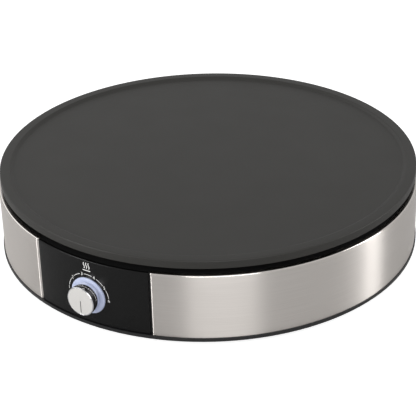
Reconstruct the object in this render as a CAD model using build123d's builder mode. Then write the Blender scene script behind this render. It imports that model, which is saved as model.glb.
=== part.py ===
"""Round electric griddle (crepe maker): a cast plate on a drum-shaped body with one front control knob.

Millimetres. +Z is up and the control knob faces -Y. The origin is on the table, on the plate's centre line.
The drum is open at the bottom and a thick cover closes it. Its deck keeps the wiring away from the hot
plate.
"""

import os
from math import cos, radians, sin, sqrt

from build123d import *

os.makedirs("parts", exist_ok=True)

# -------------------------------------------- driving dimensions
plate_radius = 200.0
overall_height = 84.4
plate_edge_height = 7.7
rim_height = 2.5
rim_width = 9.5
body_radius = 202.0  # outside of the steel band
band_top_z = 70.8
foot_height = 4.0
lip_radius = 203.0
lip_height = 4.2
panel_angle = 33.7  # degrees of the body's circumference
knob_z = 35.2
knob_radius = 13.9
knob_reach = 11.7  # how far the knob stands out of the body
light_ring_radius = 17.6
cord_z = 22.0
cord_bore_radius = 3.8

# -------------------------------------------- derived places
plate_bottom_z = overall_height - plate_edge_height
floor_z = overall_height - rim_height
lip_top_z = foot_height + lip_height
front = 270.0  # plan angle of the control panel
gap = 0.1  # clearance between moulded faces that meet

wall_outer = body_radius - 2.5  # plastic drum wall, behind the band and the panel
wall_inner = wall_outer - 2.5
well_radius = 186.0  # the plate's skirt hangs in this well
deck_z = 54.0
deck_thickness = 2.5
deck_top_z = deck_z + deck_thickness
ledge_z = band_top_z - 0.9
wall_bottom_z = lip_top_z + gap
cover_thickness = 2.4

# the dial's plane: its z is the distance from the centre line
dial = Plane(origin=(0, 0, knob_z), x_dir=(1, 0, 0), z_dir=(0, -1, 0))
gland_plane = Plane(origin=(0, 0, cord_z), x_dir=(-1, 0, 0), z_dir=(0, 1, 0))


def save(piece, name):
    """Label a finished piece and write it as one STEP file."""
    piece.part.label = name
    export_step(piece.part, f"parts/{name}.step")


def polar(radius, angle, z=0.0):
    """A point at a plan angle in degrees."""
    return Vector(radius * cos(radians(angle)), radius * sin(radians(angle)), z)


def ring_sector(inner, outer, centre_angle, sweep_angle):
    """A flat piece of a ring, as a sketch."""
    start = centre_angle - sweep_angle / 2
    with BuildSketch() as sector:
        with BuildLine():
            far = CenterArc((0, 0), outer, start, sweep_angle)
            near = CenterArc((0, 0), inner, start, sweep_angle)
            Line(far @ 0, near @ 0)
            Line(far @ 1, near @ 1)
        make_face()
    return sector.sketch


def pan_screw(shank_radius, shank_length):
    """A cross-recess pan-head screw: head above z = 0, shank below it."""
    head_radius = 2.0 * shank_radius
    head_height = 1.3 * shank_radius
    recess = 0.75 * head_height
    with BuildPart() as screw:
        with BuildSketch():
            Circle(head_radius)
        extrude(amount=head_height)
        fillet(screw.faces().sort_by(Axis.Z)[-1].edges(), head_height * 0.6)
        with BuildSketch():
            Circle(shank_radius)
        extrude(amount=-shank_length)
        chamfer(screw.faces().sort_by(Axis.Z)[0].edges(), shank_radius * 0.4)
        with BuildSketch(Plane.XY.offset(head_height)):
            Rectangle(shank_radius * 2.2, shank_radius * 0.42)
            Rectangle(shank_radius * 0.42, shank_radius * 2.2)
        extrude(amount=-recess, mode=Mode.SUBTRACT)
    return screw.part


def facing(point, direction, x_dir=(1, 0, 0)):
    """The location that turns a screw so that its head looks along a direction."""
    return Plane(origin=point, x_dir=x_dir, z_dir=direction).location


def lead(points, wire_radius, bend_radius):
    """An insulated wire along straight runs joined by arcs."""
    with BuildPart() as wire:
        with BuildLine() as route:
            FilletPolyline(*points, radius=bend_radius)
        with BuildSketch(Plane(origin=route.line @ 0, z_dir=route.line % 0)):
            Circle(wire_radius)
        sweep(path=route.line)
    return wire.part


# -------------------------------------------- heating element: one tube bent into two turns
tube_radius = 3.3
element_z = plate_bottom_z - 4.7
outer_turn = 150.0
inner_turn = 85.0
outer_start, outer_sweep = -70.0, 320.0
inner_sweep = -300.0
hairpin_angle = outer_start + outer_sweep
leg_bend = 10.0
leg_end_z = 50.0
groove_clearance = 0.1


def leg_corner(point, outwards):
    """The middle and the end of the quarter bend that turns a tube's end downwards."""
    centre = point - Vector(0, 0, leg_bend)
    middle = centre + (Vector(0, 0, 1) + outwards) * (leg_bend / sqrt(2))
    return middle, centre + outwards * leg_bend


def element_tube(radius):
    """The tube's whole path swept at a radius, used for the tube and for its groove."""
    with BuildPart() as tube:
        with BuildLine() as route:
            outer = CenterArc((0, 0, element_z), outer_turn, outer_start, outer_sweep)
            inner = CenterArc((0, 0, element_z), inner_turn, hairpin_angle, inner_sweep)
            half_way = polar((outer_turn + inner_turn) / 2, hairpin_angle, element_z)
            bulge = polar((outer_turn - inner_turn) / 2, hairpin_angle + 90)
            ThreePointArc(outer @ 1, half_way + bulge, inner @ 0)
            for end, outwards in ((outer @ 0, (outer % 0) * -1), (inner @ 1, inner % 1)):
                middle, foot = leg_corner(end, outwards)
                ThreePointArc(end, middle, foot)
                Line(foot, Vector(foot.X, foot.Y, leg_end_z))
        first_leg = route.wire() @ 0
        with BuildSketch(Plane(origin=first_leg, z_dir=(0, 0, 1))):
            Circle(radius)
        sweep(path=route.wire())
    return tube.part


outer_end = polar(outer_turn, outer_start, element_z)
inner_end = polar(inner_turn, hairpin_angle + inner_sweep, element_z)
live_leg = leg_corner(outer_end, polar(1, outer_start - 90))[1]
neutral_leg = leg_corner(inner_end, polar(1, hairpin_angle + inner_sweep - 90))[1]
leg_points = [(leg.X, leg.Y) for leg in (live_leg, neutral_leg)]

with BuildPart() as heating_element:
    add(element_tube(tube_radius))
save(heating_element, "heating_element")

# -------------------------------------------- griddle plate: die-cast aluminium
skirt_outer, skirt_inner = 183.0, 180.0
skirt_bottom_z = 64.0
ridge_width = 14.0
ridge_depth = 6.0
boss_bottom_z = 66.0
plate_screw_circle = 120.0
plate_screw_angles = (45, 135, 225, 315)
plate_screw_points = [polar(plate_screw_circle, a) for a in plate_screw_angles]
plate_screw_radius = 2.5
plate_screw_depth = 9.0
bulb_x = 40.0  # half the length of the thermostat bulb
bulb_clamp_y = 12.0
fuse_y = -108.0
fuse_x = (22.0, 62.0)
fuse_clamp_screw = (42.0, fuse_y + 12.0)
earth_point = (0.0, 60.0)
clamp_screw_radius = 2.0
clamp_screw_depth = 3.5
clamp_screw_points = ((0.0, bulb_clamp_y), fuse_clamp_screw)
boss_radius = 7.0
rim_foot_radius, rim_crest_radius, rim_edge_radius = 3.0, 1.5, 1.0

with BuildPart() as griddle_plate:
    with BuildSketch(Plane.XZ):
        with BuildLine():
            Polyline(
                (0, floor_z),
                (plate_radius - rim_width - 3, floor_z),
                (plate_radius - rim_width, overall_height),
                (plate_radius, overall_height),
                (plate_radius, plate_bottom_z),
                (skirt_outer, plate_bottom_z),
                (skirt_outer, skirt_bottom_z),
                (skirt_inner, skirt_bottom_z),
                (skirt_inner, plate_bottom_z),
                (0, plate_bottom_z),
                close=True,
            )
        profile = make_face()
        rim = profile.vertices().filter_by(lambda v: v.Y > floor_z - 0.1 and v.X > 1).sort_by(Axis.X)
        fillet(rim[0], rim_foot_radius)
        fillet(rim[1], rim_crest_radius)
        fillet(rim[2], rim_edge_radius)
    revolve(axis=Axis.Z)
    with BuildSketch(Plane.XY.offset(plate_bottom_z)):
        SlotArc(CenterArc((0, 0), outer_turn, outer_start, outer_sweep, mode=Mode.PRIVATE), ridge_width)
        SlotArc(CenterArc((0, 0), inner_turn, hairpin_angle, inner_sweep, mode=Mode.PRIVATE), ridge_width)
    extrude(amount=-ridge_depth)
    with BuildSketch(Plane.XY.offset(plate_bottom_z)):
        with Locations(*plate_screw_points, earth_point):
            Circle(boss_radius)
    extrude(amount=boss_bottom_z - plate_bottom_z)
    add(element_tube(tube_radius + groove_clearance), mode=Mode.SUBTRACT)
    with BuildSketch(Plane.XY.offset(boss_bottom_z)):
        with Locations(*plate_screw_points):
            Circle(plate_screw_radius + gap / 2)
        with Locations(earth_point):
            Circle(clamp_screw_radius + gap / 2)
    extrude(amount=plate_screw_depth, mode=Mode.SUBTRACT)
    with BuildSketch(Plane.XY.offset(plate_bottom_z)):
        with Locations(*clamp_screw_points):
            Circle(clamp_screw_radius + gap / 2)
    extrude(amount=clamp_screw_depth, mode=Mode.SUBTRACT)
save(griddle_plate, "griddle_plate")

# -------------------------------------------- heat shield: pressed steel dish under the plate
shield_radius = 176.0
shield_thickness = 0.8
shield_bottom_z = boss_bottom_z - shield_thickness
shield_rim = 5.0
leg_hole = 5.6
fuse_lead_points = ((8.0, fuse_y), (76.0, fuse_y))
capillary_point = (-58.0, 0.0)
earth_lead_point = (0.0, 82.0)
small_hole = 3.2

with BuildPart() as heat_shield:
    with BuildSketch(Plane.XY.offset(shield_bottom_z)):
        Circle(shield_radius)
    extrude(amount=shield_thickness + shield_rim)
    with BuildSketch(Plane.XY.offset(boss_bottom_z)):
        Circle(shield_radius - shield_thickness)
    extrude(amount=shield_rim, mode=Mode.SUBTRACT)
    with BuildSketch(Plane.XY.offset(shield_bottom_z)):
        with Locations(*leg_points):
            Circle(leg_hole)
        with Locations(*plate_screw_points):
            Circle(plate_screw_radius + 0.3)
        with Locations(*fuse_lead_points, capillary_point):
            Circle(small_hole)
        with Locations(earth_point):
            Circle(clamp_screw_radius + 0.2)
    extrude(amount=shield_thickness, mode=Mode.SUBTRACT)
save(heat_shield, "heat_shield")

# -------------------------------------------- drum: the body moulding that carries everything
cover_screw_circle = 182.0
cover_screw_angles = (30, 75, 105, 150, 210, 240, 300, 330)
cover_screw_points = [polar(cover_screw_circle, a) for a in cover_screw_angles]
cover_screw_radius = 1.5
post_radius = 4.5
post_bottom_z = 14.0
post_pilot_depth = 16.0
panel_boss_radius = 4.0
panel_boss_x, panel_boss_z = 46.0, (18.0, 46.0)
panel_boss_points = [(x, z - knob_z) for x in (-panel_boss_x, panel_boss_x) for z in panel_boss_z]
panel_boss_end = 188.0  # distance from the centre line
ring_hole = light_ring_radius + 0.4
gland_neck = 7.5
grommet_neck = 3.9
bracket_screw_points = ((-22.0, -172.0), (22.0, -172.0))
bracket_boss_depth = 3.0
block_y = 140.0
block_screw_points = ((-7.0, block_y), (7.0, block_y))
anchor_y = 170.0  # the cord clamp's seat
anchor_width, anchor_length = 32.0, 9.0
anchor_screw_x = 11.0
anchor_seat_z = cord_z + 1.0
anchor_screw_points = ((-anchor_screw_x, anchor_y), (anchor_screw_x, anchor_y))
anchor_pilot_depth = 12.0
deck_slot_angles = [quarter + step for quarter in (0, 90, 180) for step in (-15, -5, 5, 15)]
deck_slot_inner, deck_slot_outer, deck_slot_sweep = 160.0, 172.0, 6.0

with BuildPart() as drum:
    with BuildSketch(Plane.XZ):
        with BuildLine():
            Polyline(
                (0, deck_top_z),
                (well_radius, deck_top_z),
                (well_radius, ledge_z),
                (wall_outer, ledge_z),
                (wall_outer, wall_bottom_z),
                (wall_inner, wall_bottom_z),
                (wall_inner, ledge_z - deck_thickness),
                (well_radius + deck_thickness, ledge_z - deck_thickness),
                (well_radius + deck_thickness, deck_z),
                (0, deck_z),
                close=True,
            )
        make_face()
    revolve(axis=Axis.Z)
    # posts for the bottom cover, the seat for the cord clamp and the bosses for the thermostat bracket
    with BuildSketch(Plane.XY.offset(deck_z)):
        with Locations(*cover_screw_points):
            Circle(post_radius)
    extrude(amount=post_bottom_z - deck_z)
    with BuildSketch(Plane.XY.offset(deck_z)):
        with Locations((0, anchor_y)):
            Rectangle(anchor_width, anchor_length)
    extrude(amount=anchor_seat_z - deck_z)
    with BuildSketch(Plane.XY.offset(deck_z)):
        with Locations(*bracket_screw_points):
            Circle(post_radius)
    extrude(amount=-bracket_boss_depth)
    # pilot holes, drilled from below
    with BuildSketch(Plane.XY.offset(post_bottom_z)):
        with Locations(*cover_screw_points):
            Circle(cover_screw_radius + gap / 2)
    extrude(amount=post_pilot_depth, mode=Mode.SUBTRACT)
    with BuildSketch(Plane.XY.offset(anchor_seat_z)):
        with Locations(*anchor_screw_points):
            Circle(cover_screw_radius + gap / 2)
    extrude(amount=anchor_pilot_depth, mode=Mode.SUBTRACT)
    # holes through the deck
    with BuildSketch(Plane.XY.offset(deck_z - bracket_boss_depth)):
        with Locations(*plate_screw_points):
            Circle(plate_screw_radius + 0.3)
        with Locations(*leg_points):
            Circle(leg_hole - 0.6)
        with Locations(*fuse_lead_points, earth_lead_point):
            Circle(small_hole)
        with Locations(capillary_point):
            Circle(grommet_neck + gap)
        with Locations(*bracket_screw_points, *block_screw_points):
            Circle(cover_screw_radius + gap / 2)
        for slot_angle in deck_slot_angles:
            add(ring_sector(deck_slot_inner, deck_slot_outer, slot_angle, deck_slot_sweep))
    extrude(amount=deck_thickness + bracket_boss_depth, mode=Mode.SUBTRACT)
    # openings in the wall: light ring, panel bosses and cord gland
    with BuildSketch(dial.offset(panel_boss_end)):
        Circle(ring_hole)
        with Locations(*panel_boss_points):
            Circle(panel_boss_radius + 0.3)
    extrude(amount=body_radius - panel_boss_end, mode=Mode.SUBTRACT)
    with BuildSketch(gland_plane.offset(anchor_y - anchor_length)):
        Circle(cord_bore_radius)
    extrude(amount=2 * anchor_length, mode=Mode.SUBTRACT)
    with BuildSketch(gland_plane.offset(wall_inner - 2)):
        Circle(gland_neck + 0.2)
    extrude(amount=6.0, mode=Mode.SUBTRACT)
save(drum, "drum")

# -------------------------------------------- steel band: brushed sheet with rolled-in edges
band_sheet = 0.8
roll_radius = 1.4
end_roll_radius = 1.6
band_end_angle = panel_angle + 0.7  # the opening that the panel fills
band_sweep = 360 - band_end_angle
band_inner_edge = 197.5

with BuildPart() as steel_band:
    mid_radius = body_radius - band_sheet / 2
    hem_radius = wall_outer + 0.3
    half_opening = band_end_angle / 2
    with BuildSketch(Plane.XY.offset(lip_top_z + gap)):
        with BuildLine():
            wrap = CenterArc((0, 0), mid_radius, front + half_opening, band_sweep)
            Line(wrap @ 0, polar(hem_radius, front + half_opening))
            Line(wrap @ 1, polar(hem_radius, front - half_opening))
        trace(line_width=band_sheet)
    extrude(amount=band_top_z - roll_radius - lip_top_z - gap)
    upright = steel_band.edges().filter_by(Axis.Z)
    by_radius = upright.group_by(lambda e: round(Vector(e.center().X, e.center().Y).length, 1))
    fillet(by_radius[-1], end_roll_radius)
    # the top edge rolls in to a narrow flange that lies on the drum's ledge
    with BuildSketch(Plane.XZ.rotated((0, 0, front + half_opening))):
        with BuildLine():
            roll = CenterArc(
                (body_radius - roll_radius, band_top_z - roll_radius), roll_radius - band_sheet / 2, 0, 90
            )
            Line(roll @ 1, (band_inner_edge, (roll @ 1).Y))
        trace(line_width=band_sheet)
    revolve(axis=Axis.Z, revolution_arc=band_sweep)
    with BuildSketch(gland_plane.offset(body_radius - 4)):
        Circle(gland_neck + 0.3)
    extrude(amount=8.0, mode=Mode.SUBTRACT)
save(steel_band, "steel_band")

# -------------------------------------------- control panel: black moulding in the band's opening
panel_inner = wall_outer + 0.05
panel_outer = body_radius - 0.2
panel_bottom_z = lip_top_z + gap
panel_pilot_depth = 6.5
panel_top_radius = 0.8

with BuildPart() as control_panel:
    with BuildSketch(Plane.XY.offset(panel_bottom_z)):
        add(ring_sector(panel_inner, panel_outer, front, panel_angle))
    extrude(amount=band_top_z - panel_bottom_z)
    top_edges = control_panel.faces().sort_by(Axis.Z)[-1].edges().filter_by(GeomType.CIRCLE)
    fillet(top_edges.sort_by(lambda e: e.radius)[-1], panel_top_radius)
    with BuildSketch(dial.offset(panel_boss_end)):
        with Locations(*panel_boss_points):
            Circle(panel_boss_radius)
    extrude(until=Until.NEXT)
    with BuildSketch(dial.offset(panel_boss_end)):
        with Locations(*panel_boss_points):
            Circle(cover_screw_radius + gap / 2)
    extrude(amount=panel_pilot_depth, mode=Mode.SUBTRACT)
    with BuildSketch(dial.offset(panel_boss_end)):
        Circle(ring_hole - 0.15)
    extrude(amount=20.0, mode=Mode.SUBTRACT)
save(control_panel, "control_panel")

panel_washer = 0.8
with BuildPart() as panel_screws:
    with Locations(
        *[facing((x, -(panel_boss_end - panel_washer), knob_z + z), (0, 1, 0)) for x, z in panel_boss_points]
    ):
        add(pan_screw(cover_screw_radius, panel_pilot_depth))
save(panel_screws, "panel_screws")

with BuildPart() as panel_washers:
    with BuildSketch(dial.offset(panel_boss_end - panel_washer)):
        with Locations(*panel_boss_points):
            Circle(panel_boss_radius + 2)
            Circle(cover_screw_radius + 0.2, mode=Mode.SUBTRACT)
    extrude(amount=panel_washer)
save(panel_washers, "panel_washers")

# -------------------------------------------- light ring: milky lens around the knob
ring_face = body_radius + 0.6
ring_thickness = 2.2
ring_opening = 6.2
ring_wall = 2.2
ring_back = 194.3
ring_flange = 20.6
ring_flange_thickness = 1.4

with BuildPart() as light_ring:
    with BuildSketch(dial.offset(ring_face - ring_thickness)):
        Circle(light_ring_radius)
        Circle(ring_opening, mode=Mode.SUBTRACT)
    extrude(amount=ring_thickness)
    front_edge = light_ring.faces().sort_by(Axis.Y)[0].edges().sort_by(lambda e: e.radius)[-1]
    fillet(front_edge, 0.5)
    with BuildSketch(dial.offset(ring_back)):
        Circle(light_ring_radius)
        Circle(light_ring_radius - ring_wall, mode=Mode.SUBTRACT)
    extrude(amount=ring_face - ring_thickness - ring_back)
    with BuildSketch(dial.offset(ring_back)):
        Circle(ring_flange)
        Circle(light_ring_radius - ring_wall, mode=Mode.SUBTRACT)
    extrude(amount=ring_flange_thickness)
save(light_ring, "light_ring")

# -------------------------------------------- lamp board behind the light ring
board_front = 193.4
board_thickness = 1.6
board_back = board_front - board_thickness
board_outer, board_opening = 19.5, 7.0
spacer_y = 12.5  # above and below the shaft
lamp_circle = light_ring_radius - ring_wall / 2
lamp_height = 0.7
board_screw_radius = 1.25
board_spacer_radius = 3.0

with BuildPart() as lamp_board:
    with BuildSketch(dial.offset(board_back)):
        Circle(board_outer)
        Circle(board_opening, mode=Mode.SUBTRACT)
        with Locations((0, spacer_y), (0, -spacer_y)):
            Circle(board_screw_radius + 0.2, mode=Mode.SUBTRACT)
    extrude(amount=board_thickness)
save(lamp_board, "lamp_board")

with BuildPart() as lamps:
    with BuildSketch(dial.offset(board_front)):
        with PolarLocations(lamp_circle, 8, start_angle=22.5):
            Rectangle(1.6, 3.2)
    extrude(amount=lamp_height)
save(lamps, "lamps")

# -------------------------------------------- thermostat bracket: folded sheet under the deck
bracket_front = 184.0
bracket_sheet = 1.5
bracket_back = bracket_front - bracket_sheet
bracket_width = 58.0
bracket_top_z = deck_z - bracket_boss_depth
bracket_bottom_z = 16.0
bracket_flange = 20.0
bracket_screw_length = 6.5
thermostat_screw_x = 14.0
thermostat_screw_radius = 2.0
thermostat_screw_length = 7.0
shaft_radius = 3.0

with BuildPart() as thermostat_bracket:
    with BuildSketch(Plane.YZ.offset(-bracket_width / 2)):
        with BuildLine():
            FilletPolyline(
                (-bracket_front + bracket_sheet / 2, bracket_bottom_z),
                (-bracket_front + bracket_sheet / 2, bracket_top_z - bracket_sheet / 2),
                (-bracket_front + bracket_flange, bracket_top_z - bracket_sheet / 2),
                radius=2.0,
            )
        trace(line_width=bracket_sheet)
    extrude(amount=bracket_width)
    with BuildSketch(dial.offset(bracket_back)):
        Circle(shaft_radius + 2)
        with Locations((thermostat_screw_x, 0), (-thermostat_screw_x, 0)):
            Circle(thermostat_screw_radius + 0.2)
        with Locations((0, spacer_y), (0, -spacer_y)):
            Circle(board_screw_radius + gap / 2)
    extrude(amount=bracket_sheet, mode=Mode.SUBTRACT)
    with BuildSketch(Plane.XY.offset(bracket_top_z)):
        with Locations(*bracket_screw_points):
            Circle(cover_screw_radius + 0.2)
    extrude(amount=-2 * bracket_sheet, mode=Mode.SUBTRACT)
save(thermostat_bracket, "thermostat_bracket")

with BuildPart() as bracket_screws:
    head_z = bracket_top_z - bracket_sheet
    with Locations(*[facing((x, y, head_z), (0, 0, -1)) for x, y in bracket_screw_points]):
        add(pan_screw(cover_screw_radius, bracket_screw_length))
save(bracket_screws, "bracket_screws")

with BuildPart() as board_spacers:
    with BuildSketch(dial.offset(bracket_front)):
        with Locations((0, spacer_y), (0, -spacer_y)):
            Circle(board_spacer_radius)
            Circle(board_screw_radius + 0.2, mode=Mode.SUBTRACT)
    extrude(amount=board_back - bracket_front)
save(board_spacers, "board_spacers")

with BuildPart() as board_screws:
    with Locations(*[facing((0, -board_front, knob_z + y), (0, -1, 0)) for y in (spacer_y, -spacer_y)]):
        add(pan_screw(board_screw_radius, board_front - bracket_back + 0.8))
save(board_screws, "board_screws")

# -------------------------------------------- capillary thermostat: frame, body, capsule, shaft
frame_sheet = 1.2
frame_front = bracket_back
body_front = frame_front - frame_sheet
body_depth = 24.0
body_back = body_front - body_depth
body_width, body_height = 34.0, 28.0
capsule_radius, capsule_depth = 9.0, 4.0
shaft_socket = 7.0

with BuildPart() as thermostat_frame:
    with BuildSketch(dial.offset(body_front)):
        Rectangle(body_width + 4, body_height - 6)
        Circle(shaft_radius + 0.2, mode=Mode.SUBTRACT)
        with Locations((thermostat_screw_x, 0), (-thermostat_screw_x, 0)):
            Circle(thermostat_screw_radius + gap / 2, mode=Mode.SUBTRACT)
    extrude(amount=frame_sheet)
save(thermostat_frame, "thermostat_frame")

with BuildPart() as thermostat_body:
    with BuildSketch(dial.offset(body_back)):
        RectangleRounded(body_width, body_height, 3.0)
    extrude(amount=body_depth)
    with BuildSketch(dial.offset(body_front)):
        Circle(shaft_radius + 0.1)
    extrude(amount=-shaft_socket, mode=Mode.SUBTRACT)
    with BuildSketch(dial.offset(body_front)):
        with Locations((thermostat_screw_x, 0), (-thermostat_screw_x, 0)):
            Circle(thermostat_screw_radius + gap / 2)
    extrude(amount=-6.0, mode=Mode.SUBTRACT)
save(thermostat_body, "thermostat_body")

with BuildPart() as thermostat_screws:
    with Locations(
        *[facing((x, -bracket_front, knob_z), (0, -1, 0)) for x in (thermostat_screw_x, -thermostat_screw_x)]
    ):
        add(pan_screw(thermostat_screw_radius, thermostat_screw_length))
save(thermostat_screws, "thermostat_screws")

with BuildPart() as diaphragm_capsule:
    with BuildSketch(dial.offset(body_back)):
        Circle(capsule_radius)
    extrude(amount=-capsule_depth)
    fillet(diaphragm_capsule.faces().sort_by(Axis.Y)[-1].edges(), 1.5)
save(diaphragm_capsule, "diaphragm_capsule")

blade_width, blade_thickness, blade_length = 6.3, 0.8, 9.0
thermostat_blade_x = 12.8
thermostat_blade_z = 7.0  # above the shaft
with BuildPart() as thermostat_blades:
    with BuildSketch(dial.offset(body_back)):
        with Locations((thermostat_blade_x, thermostat_blade_z), (-thermostat_blade_x, thermostat_blade_z)):
            Rectangle(blade_thickness, blade_width)
    extrude(amount=-blade_length)
save(thermostat_blades, "thermostat_blades")

shaft_back = body_front - shaft_socket + 0.5
shaft_front = body_radius + 7.5
flat_start = 198.0
flat_height = 1.6
with BuildPart() as thermostat_shaft:
    with BuildSketch(dial.offset(shaft_back)):
        Circle(shaft_radius)
    extrude(amount=shaft_front - shaft_back)
    with BuildSketch(dial.offset(flat_start)):
        with Locations((0, flat_height)):
            Rectangle(4 * shaft_radius, 2 * shaft_radius, align=(Align.CENTER, Align.MIN))
    extrude(amount=shaft_front - flat_start, mode=Mode.SUBTRACT)
save(thermostat_shaft, "thermostat_shaft")

# -------------------------------------------- control knob: plated cap on a moulded core
knob_back = ring_face + 0.6
knob_front = body_radius + knob_reach
cap_wall = 1.4
cap_bore = knob_radius - cap_wall
cap_face = 1.6
pointer_width, pointer_depth, pointer_length = 0.7, 0.4, 11.5
stem_radius = 5.4
stem_back = flat_start + 0.6
clip_sheet = 0.4
clip_width = 3.2

with BuildPart() as knob_cap:
    with BuildSketch(dial.offset(knob_back)):
        Circle(knob_radius)
    extrude(amount=knob_front - knob_back)
    chamfer(knob_cap.faces().sort_by(Axis.Y)[0].edges(), 0.5)
    with BuildSketch(dial.offset(knob_back)):
        Circle(cap_bore)
    extrude(amount=knob_front - cap_face - knob_back, mode=Mode.SUBTRACT)
    with BuildSketch(dial.offset(knob_front - pointer_depth)):
        Rectangle(pointer_width, pointer_length, align=(Align.CENTER, Align.MAX))
    extrude(amount=pointer_depth, mode=Mode.SUBTRACT)
save(knob_cap, "knob_cap")

with BuildPart() as knob_core:
    with BuildSketch(dial.offset(stem_back)):
        Circle(stem_radius)
    extrude(amount=knob_front - cap_face - stem_back)
    with BuildSketch(dial.offset(knob_back + 0.8)):
        Circle(cap_bore - gap / 2)
    extrude(amount=knob_front - cap_face - knob_back - 0.8)
    with BuildSketch(dial.offset(stem_back)):
        Circle(shaft_radius + gap / 2)
        with Locations((0, flat_height + clip_sheet + 0.1)):
            Rectangle(
                4 * shaft_radius, 2 * shaft_radius, align=(Align.CENTER, Align.MIN), mode=Mode.SUBTRACT
            )
    extrude(amount=shaft_front + 0.3 - stem_back, mode=Mode.SUBTRACT)
save(knob_core, "knob_core")

with BuildPart() as knob_clip:
    with BuildSketch(dial.offset(flat_start + 1)):
        with Locations((0, flat_height + 0.05)):
            Rectangle(clip_width, clip_sheet, align=(Align.CENTER, Align.MIN))
    extrude(amount=shaft_front - flat_start - 1.5)
save(knob_clip, "knob_clip")

# -------------------------------------------- thermostat bulb and capillary tube
bulb_radius = 3.0
bulb_z = plate_bottom_z - bulb_radius - gap
strap_sheet = 1.0
strap_width = 9.0
clamp_screw_length = 4.0
capillary_radius = 0.9

with BuildPart() as thermostat_bulb:
    with BuildSketch(Plane.YZ.offset(-bulb_x)):
        with Locations((0, bulb_z)):
            Circle(bulb_radius)
    extrude(amount=2 * bulb_x)
    fillet(thermostat_bulb.edges().filter_by(GeomType.CIRCLE), 1.2)
save(thermostat_bulb, "thermostat_bulb")


def strap_clamp(centre_x, held_y, screw_y, rod_radius):
    """A sheet strap that hooks round a rod under the plate and is screwed to the plate beside it."""
    reach = rod_radius + gap + strap_sheet / 2
    side = 1 if screw_y > held_y else -1
    top_z = plate_bottom_z - strap_sheet / 2
    rod_z = plate_bottom_z - rod_radius - gap
    with BuildPart() as strap:
        with BuildSketch(Plane.YZ.offset(centre_x - strap_width / 2)):
            with BuildLine():
                Line((screw_y + side * strap_width / 2, top_z), (held_y + side * (reach + 2), top_z))
                Line((held_y + side * (reach + 2), top_z), (held_y + side * reach, rod_z))
                ThreePointArc(
                    (held_y + side * reach, rod_z), (held_y, rod_z - reach), (held_y - side * reach, rod_z)
                )
            trace(line_width=strap_sheet)
        extrude(amount=strap_width)
        with BuildSketch(Plane.XY.offset(plate_bottom_z)):
            with Locations((centre_x, screw_y)):
                Circle(clamp_screw_radius + 0.2)
        extrude(amount=-2 * strap_sheet, mode=Mode.SUBTRACT)
    return strap.part


with BuildPart() as bulb_clamp:
    add(strap_clamp(0, 0, bulb_clamp_y, bulb_radius))
save(bulb_clamp, "bulb_clamp")

with BuildPart() as capillary_tube:
    add(
        lead(
            [
                (-bulb_x, 0, bulb_z),
                (capillary_point[0], 0, bulb_z),
                (capillary_point[0], 0, 42),
                (capillary_point[0], -76, 36),
                (-24, -116, knob_z),
                (0, -134, knob_z),
                (0, -(body_back - capsule_depth), knob_z),
            ],
            capillary_radius,
            [8, 8, 20, 20, 8],
        )
    )
save(capillary_tube, "capillary_tube")

grommet_flange, grommet_flange_thickness = 5.9, 1.5
with BuildPart() as capillary_grommet:
    with BuildSketch(Plane.XY.offset(deck_z - grommet_flange_thickness)):
        with Locations(capillary_point):
            Circle(grommet_flange)
    extrude(amount=grommet_flange_thickness)
    with BuildSketch(Plane.XY.offset(deck_z)):
        with Locations(capillary_point):
            Circle(grommet_neck)
    extrude(amount=deck_thickness)
    with BuildSketch(Plane.XY.offset(deck_top_z)):
        with Locations(capillary_point):
            Circle(grommet_flange)
    extrude(amount=grommet_flange_thickness)
    with BuildSketch(Plane.XY.offset(deck_z - grommet_flange_thickness)):
        with Locations(capillary_point):
            Circle(capillary_radius + gap)
    extrude(amount=deck_thickness + 2 * grommet_flange_thickness, mode=Mode.SUBTRACT)
save(capillary_grommet, "capillary_grommet")

# -------------------------------------------- thermal fuse under the plate
with BuildPart() as thermal_fuse:
    with BuildSketch(Plane.YZ.offset(fuse_x[0])):
        with Locations((fuse_y, bulb_z)):
            Circle(bulb_radius)
    extrude(amount=fuse_x[1] - fuse_x[0])
    fillet(thermal_fuse.edges().filter_by(GeomType.CIRCLE), 0.8)
save(thermal_fuse, "thermal_fuse")

with BuildPart() as fuse_clamp:
    add(strap_clamp(fuse_clamp_screw[0], fuse_y, fuse_clamp_screw[1], bulb_radius))
save(fuse_clamp, "fuse_clamp")

with BuildPart() as clamp_screws:
    with Locations(
        *[facing((x, y, plate_bottom_z - strap_sheet), (0, 0, -1)) for x, y in clamp_screw_points]
    ):
        add(pan_screw(clamp_screw_radius, clamp_screw_length))
save(clamp_screws, "clamp_screws")

# -------------------------------------------- element ends: ceramic beads, blades, connectors
bead_radius, bead_length = 4.8, 8.0
with BuildPart() as element_beads:
    with BuildSketch(Plane.XY.offset(leg_end_z + 0.3)):
        with Locations(*leg_points):
            Circle(bead_radius)
            Circle(tube_radius + 0.05, mode=Mode.SUBTRACT)
    extrude(amount=bead_length)
save(element_beads, "element_beads")

with BuildPart() as element_blades:
    with BuildSketch(Plane.XY.offset(leg_end_z)):
        with Locations(*leg_points):
            Rectangle(blade_width, blade_thickness)
    extrude(amount=-blade_length)
save(element_blades, "element_blades")

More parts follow.
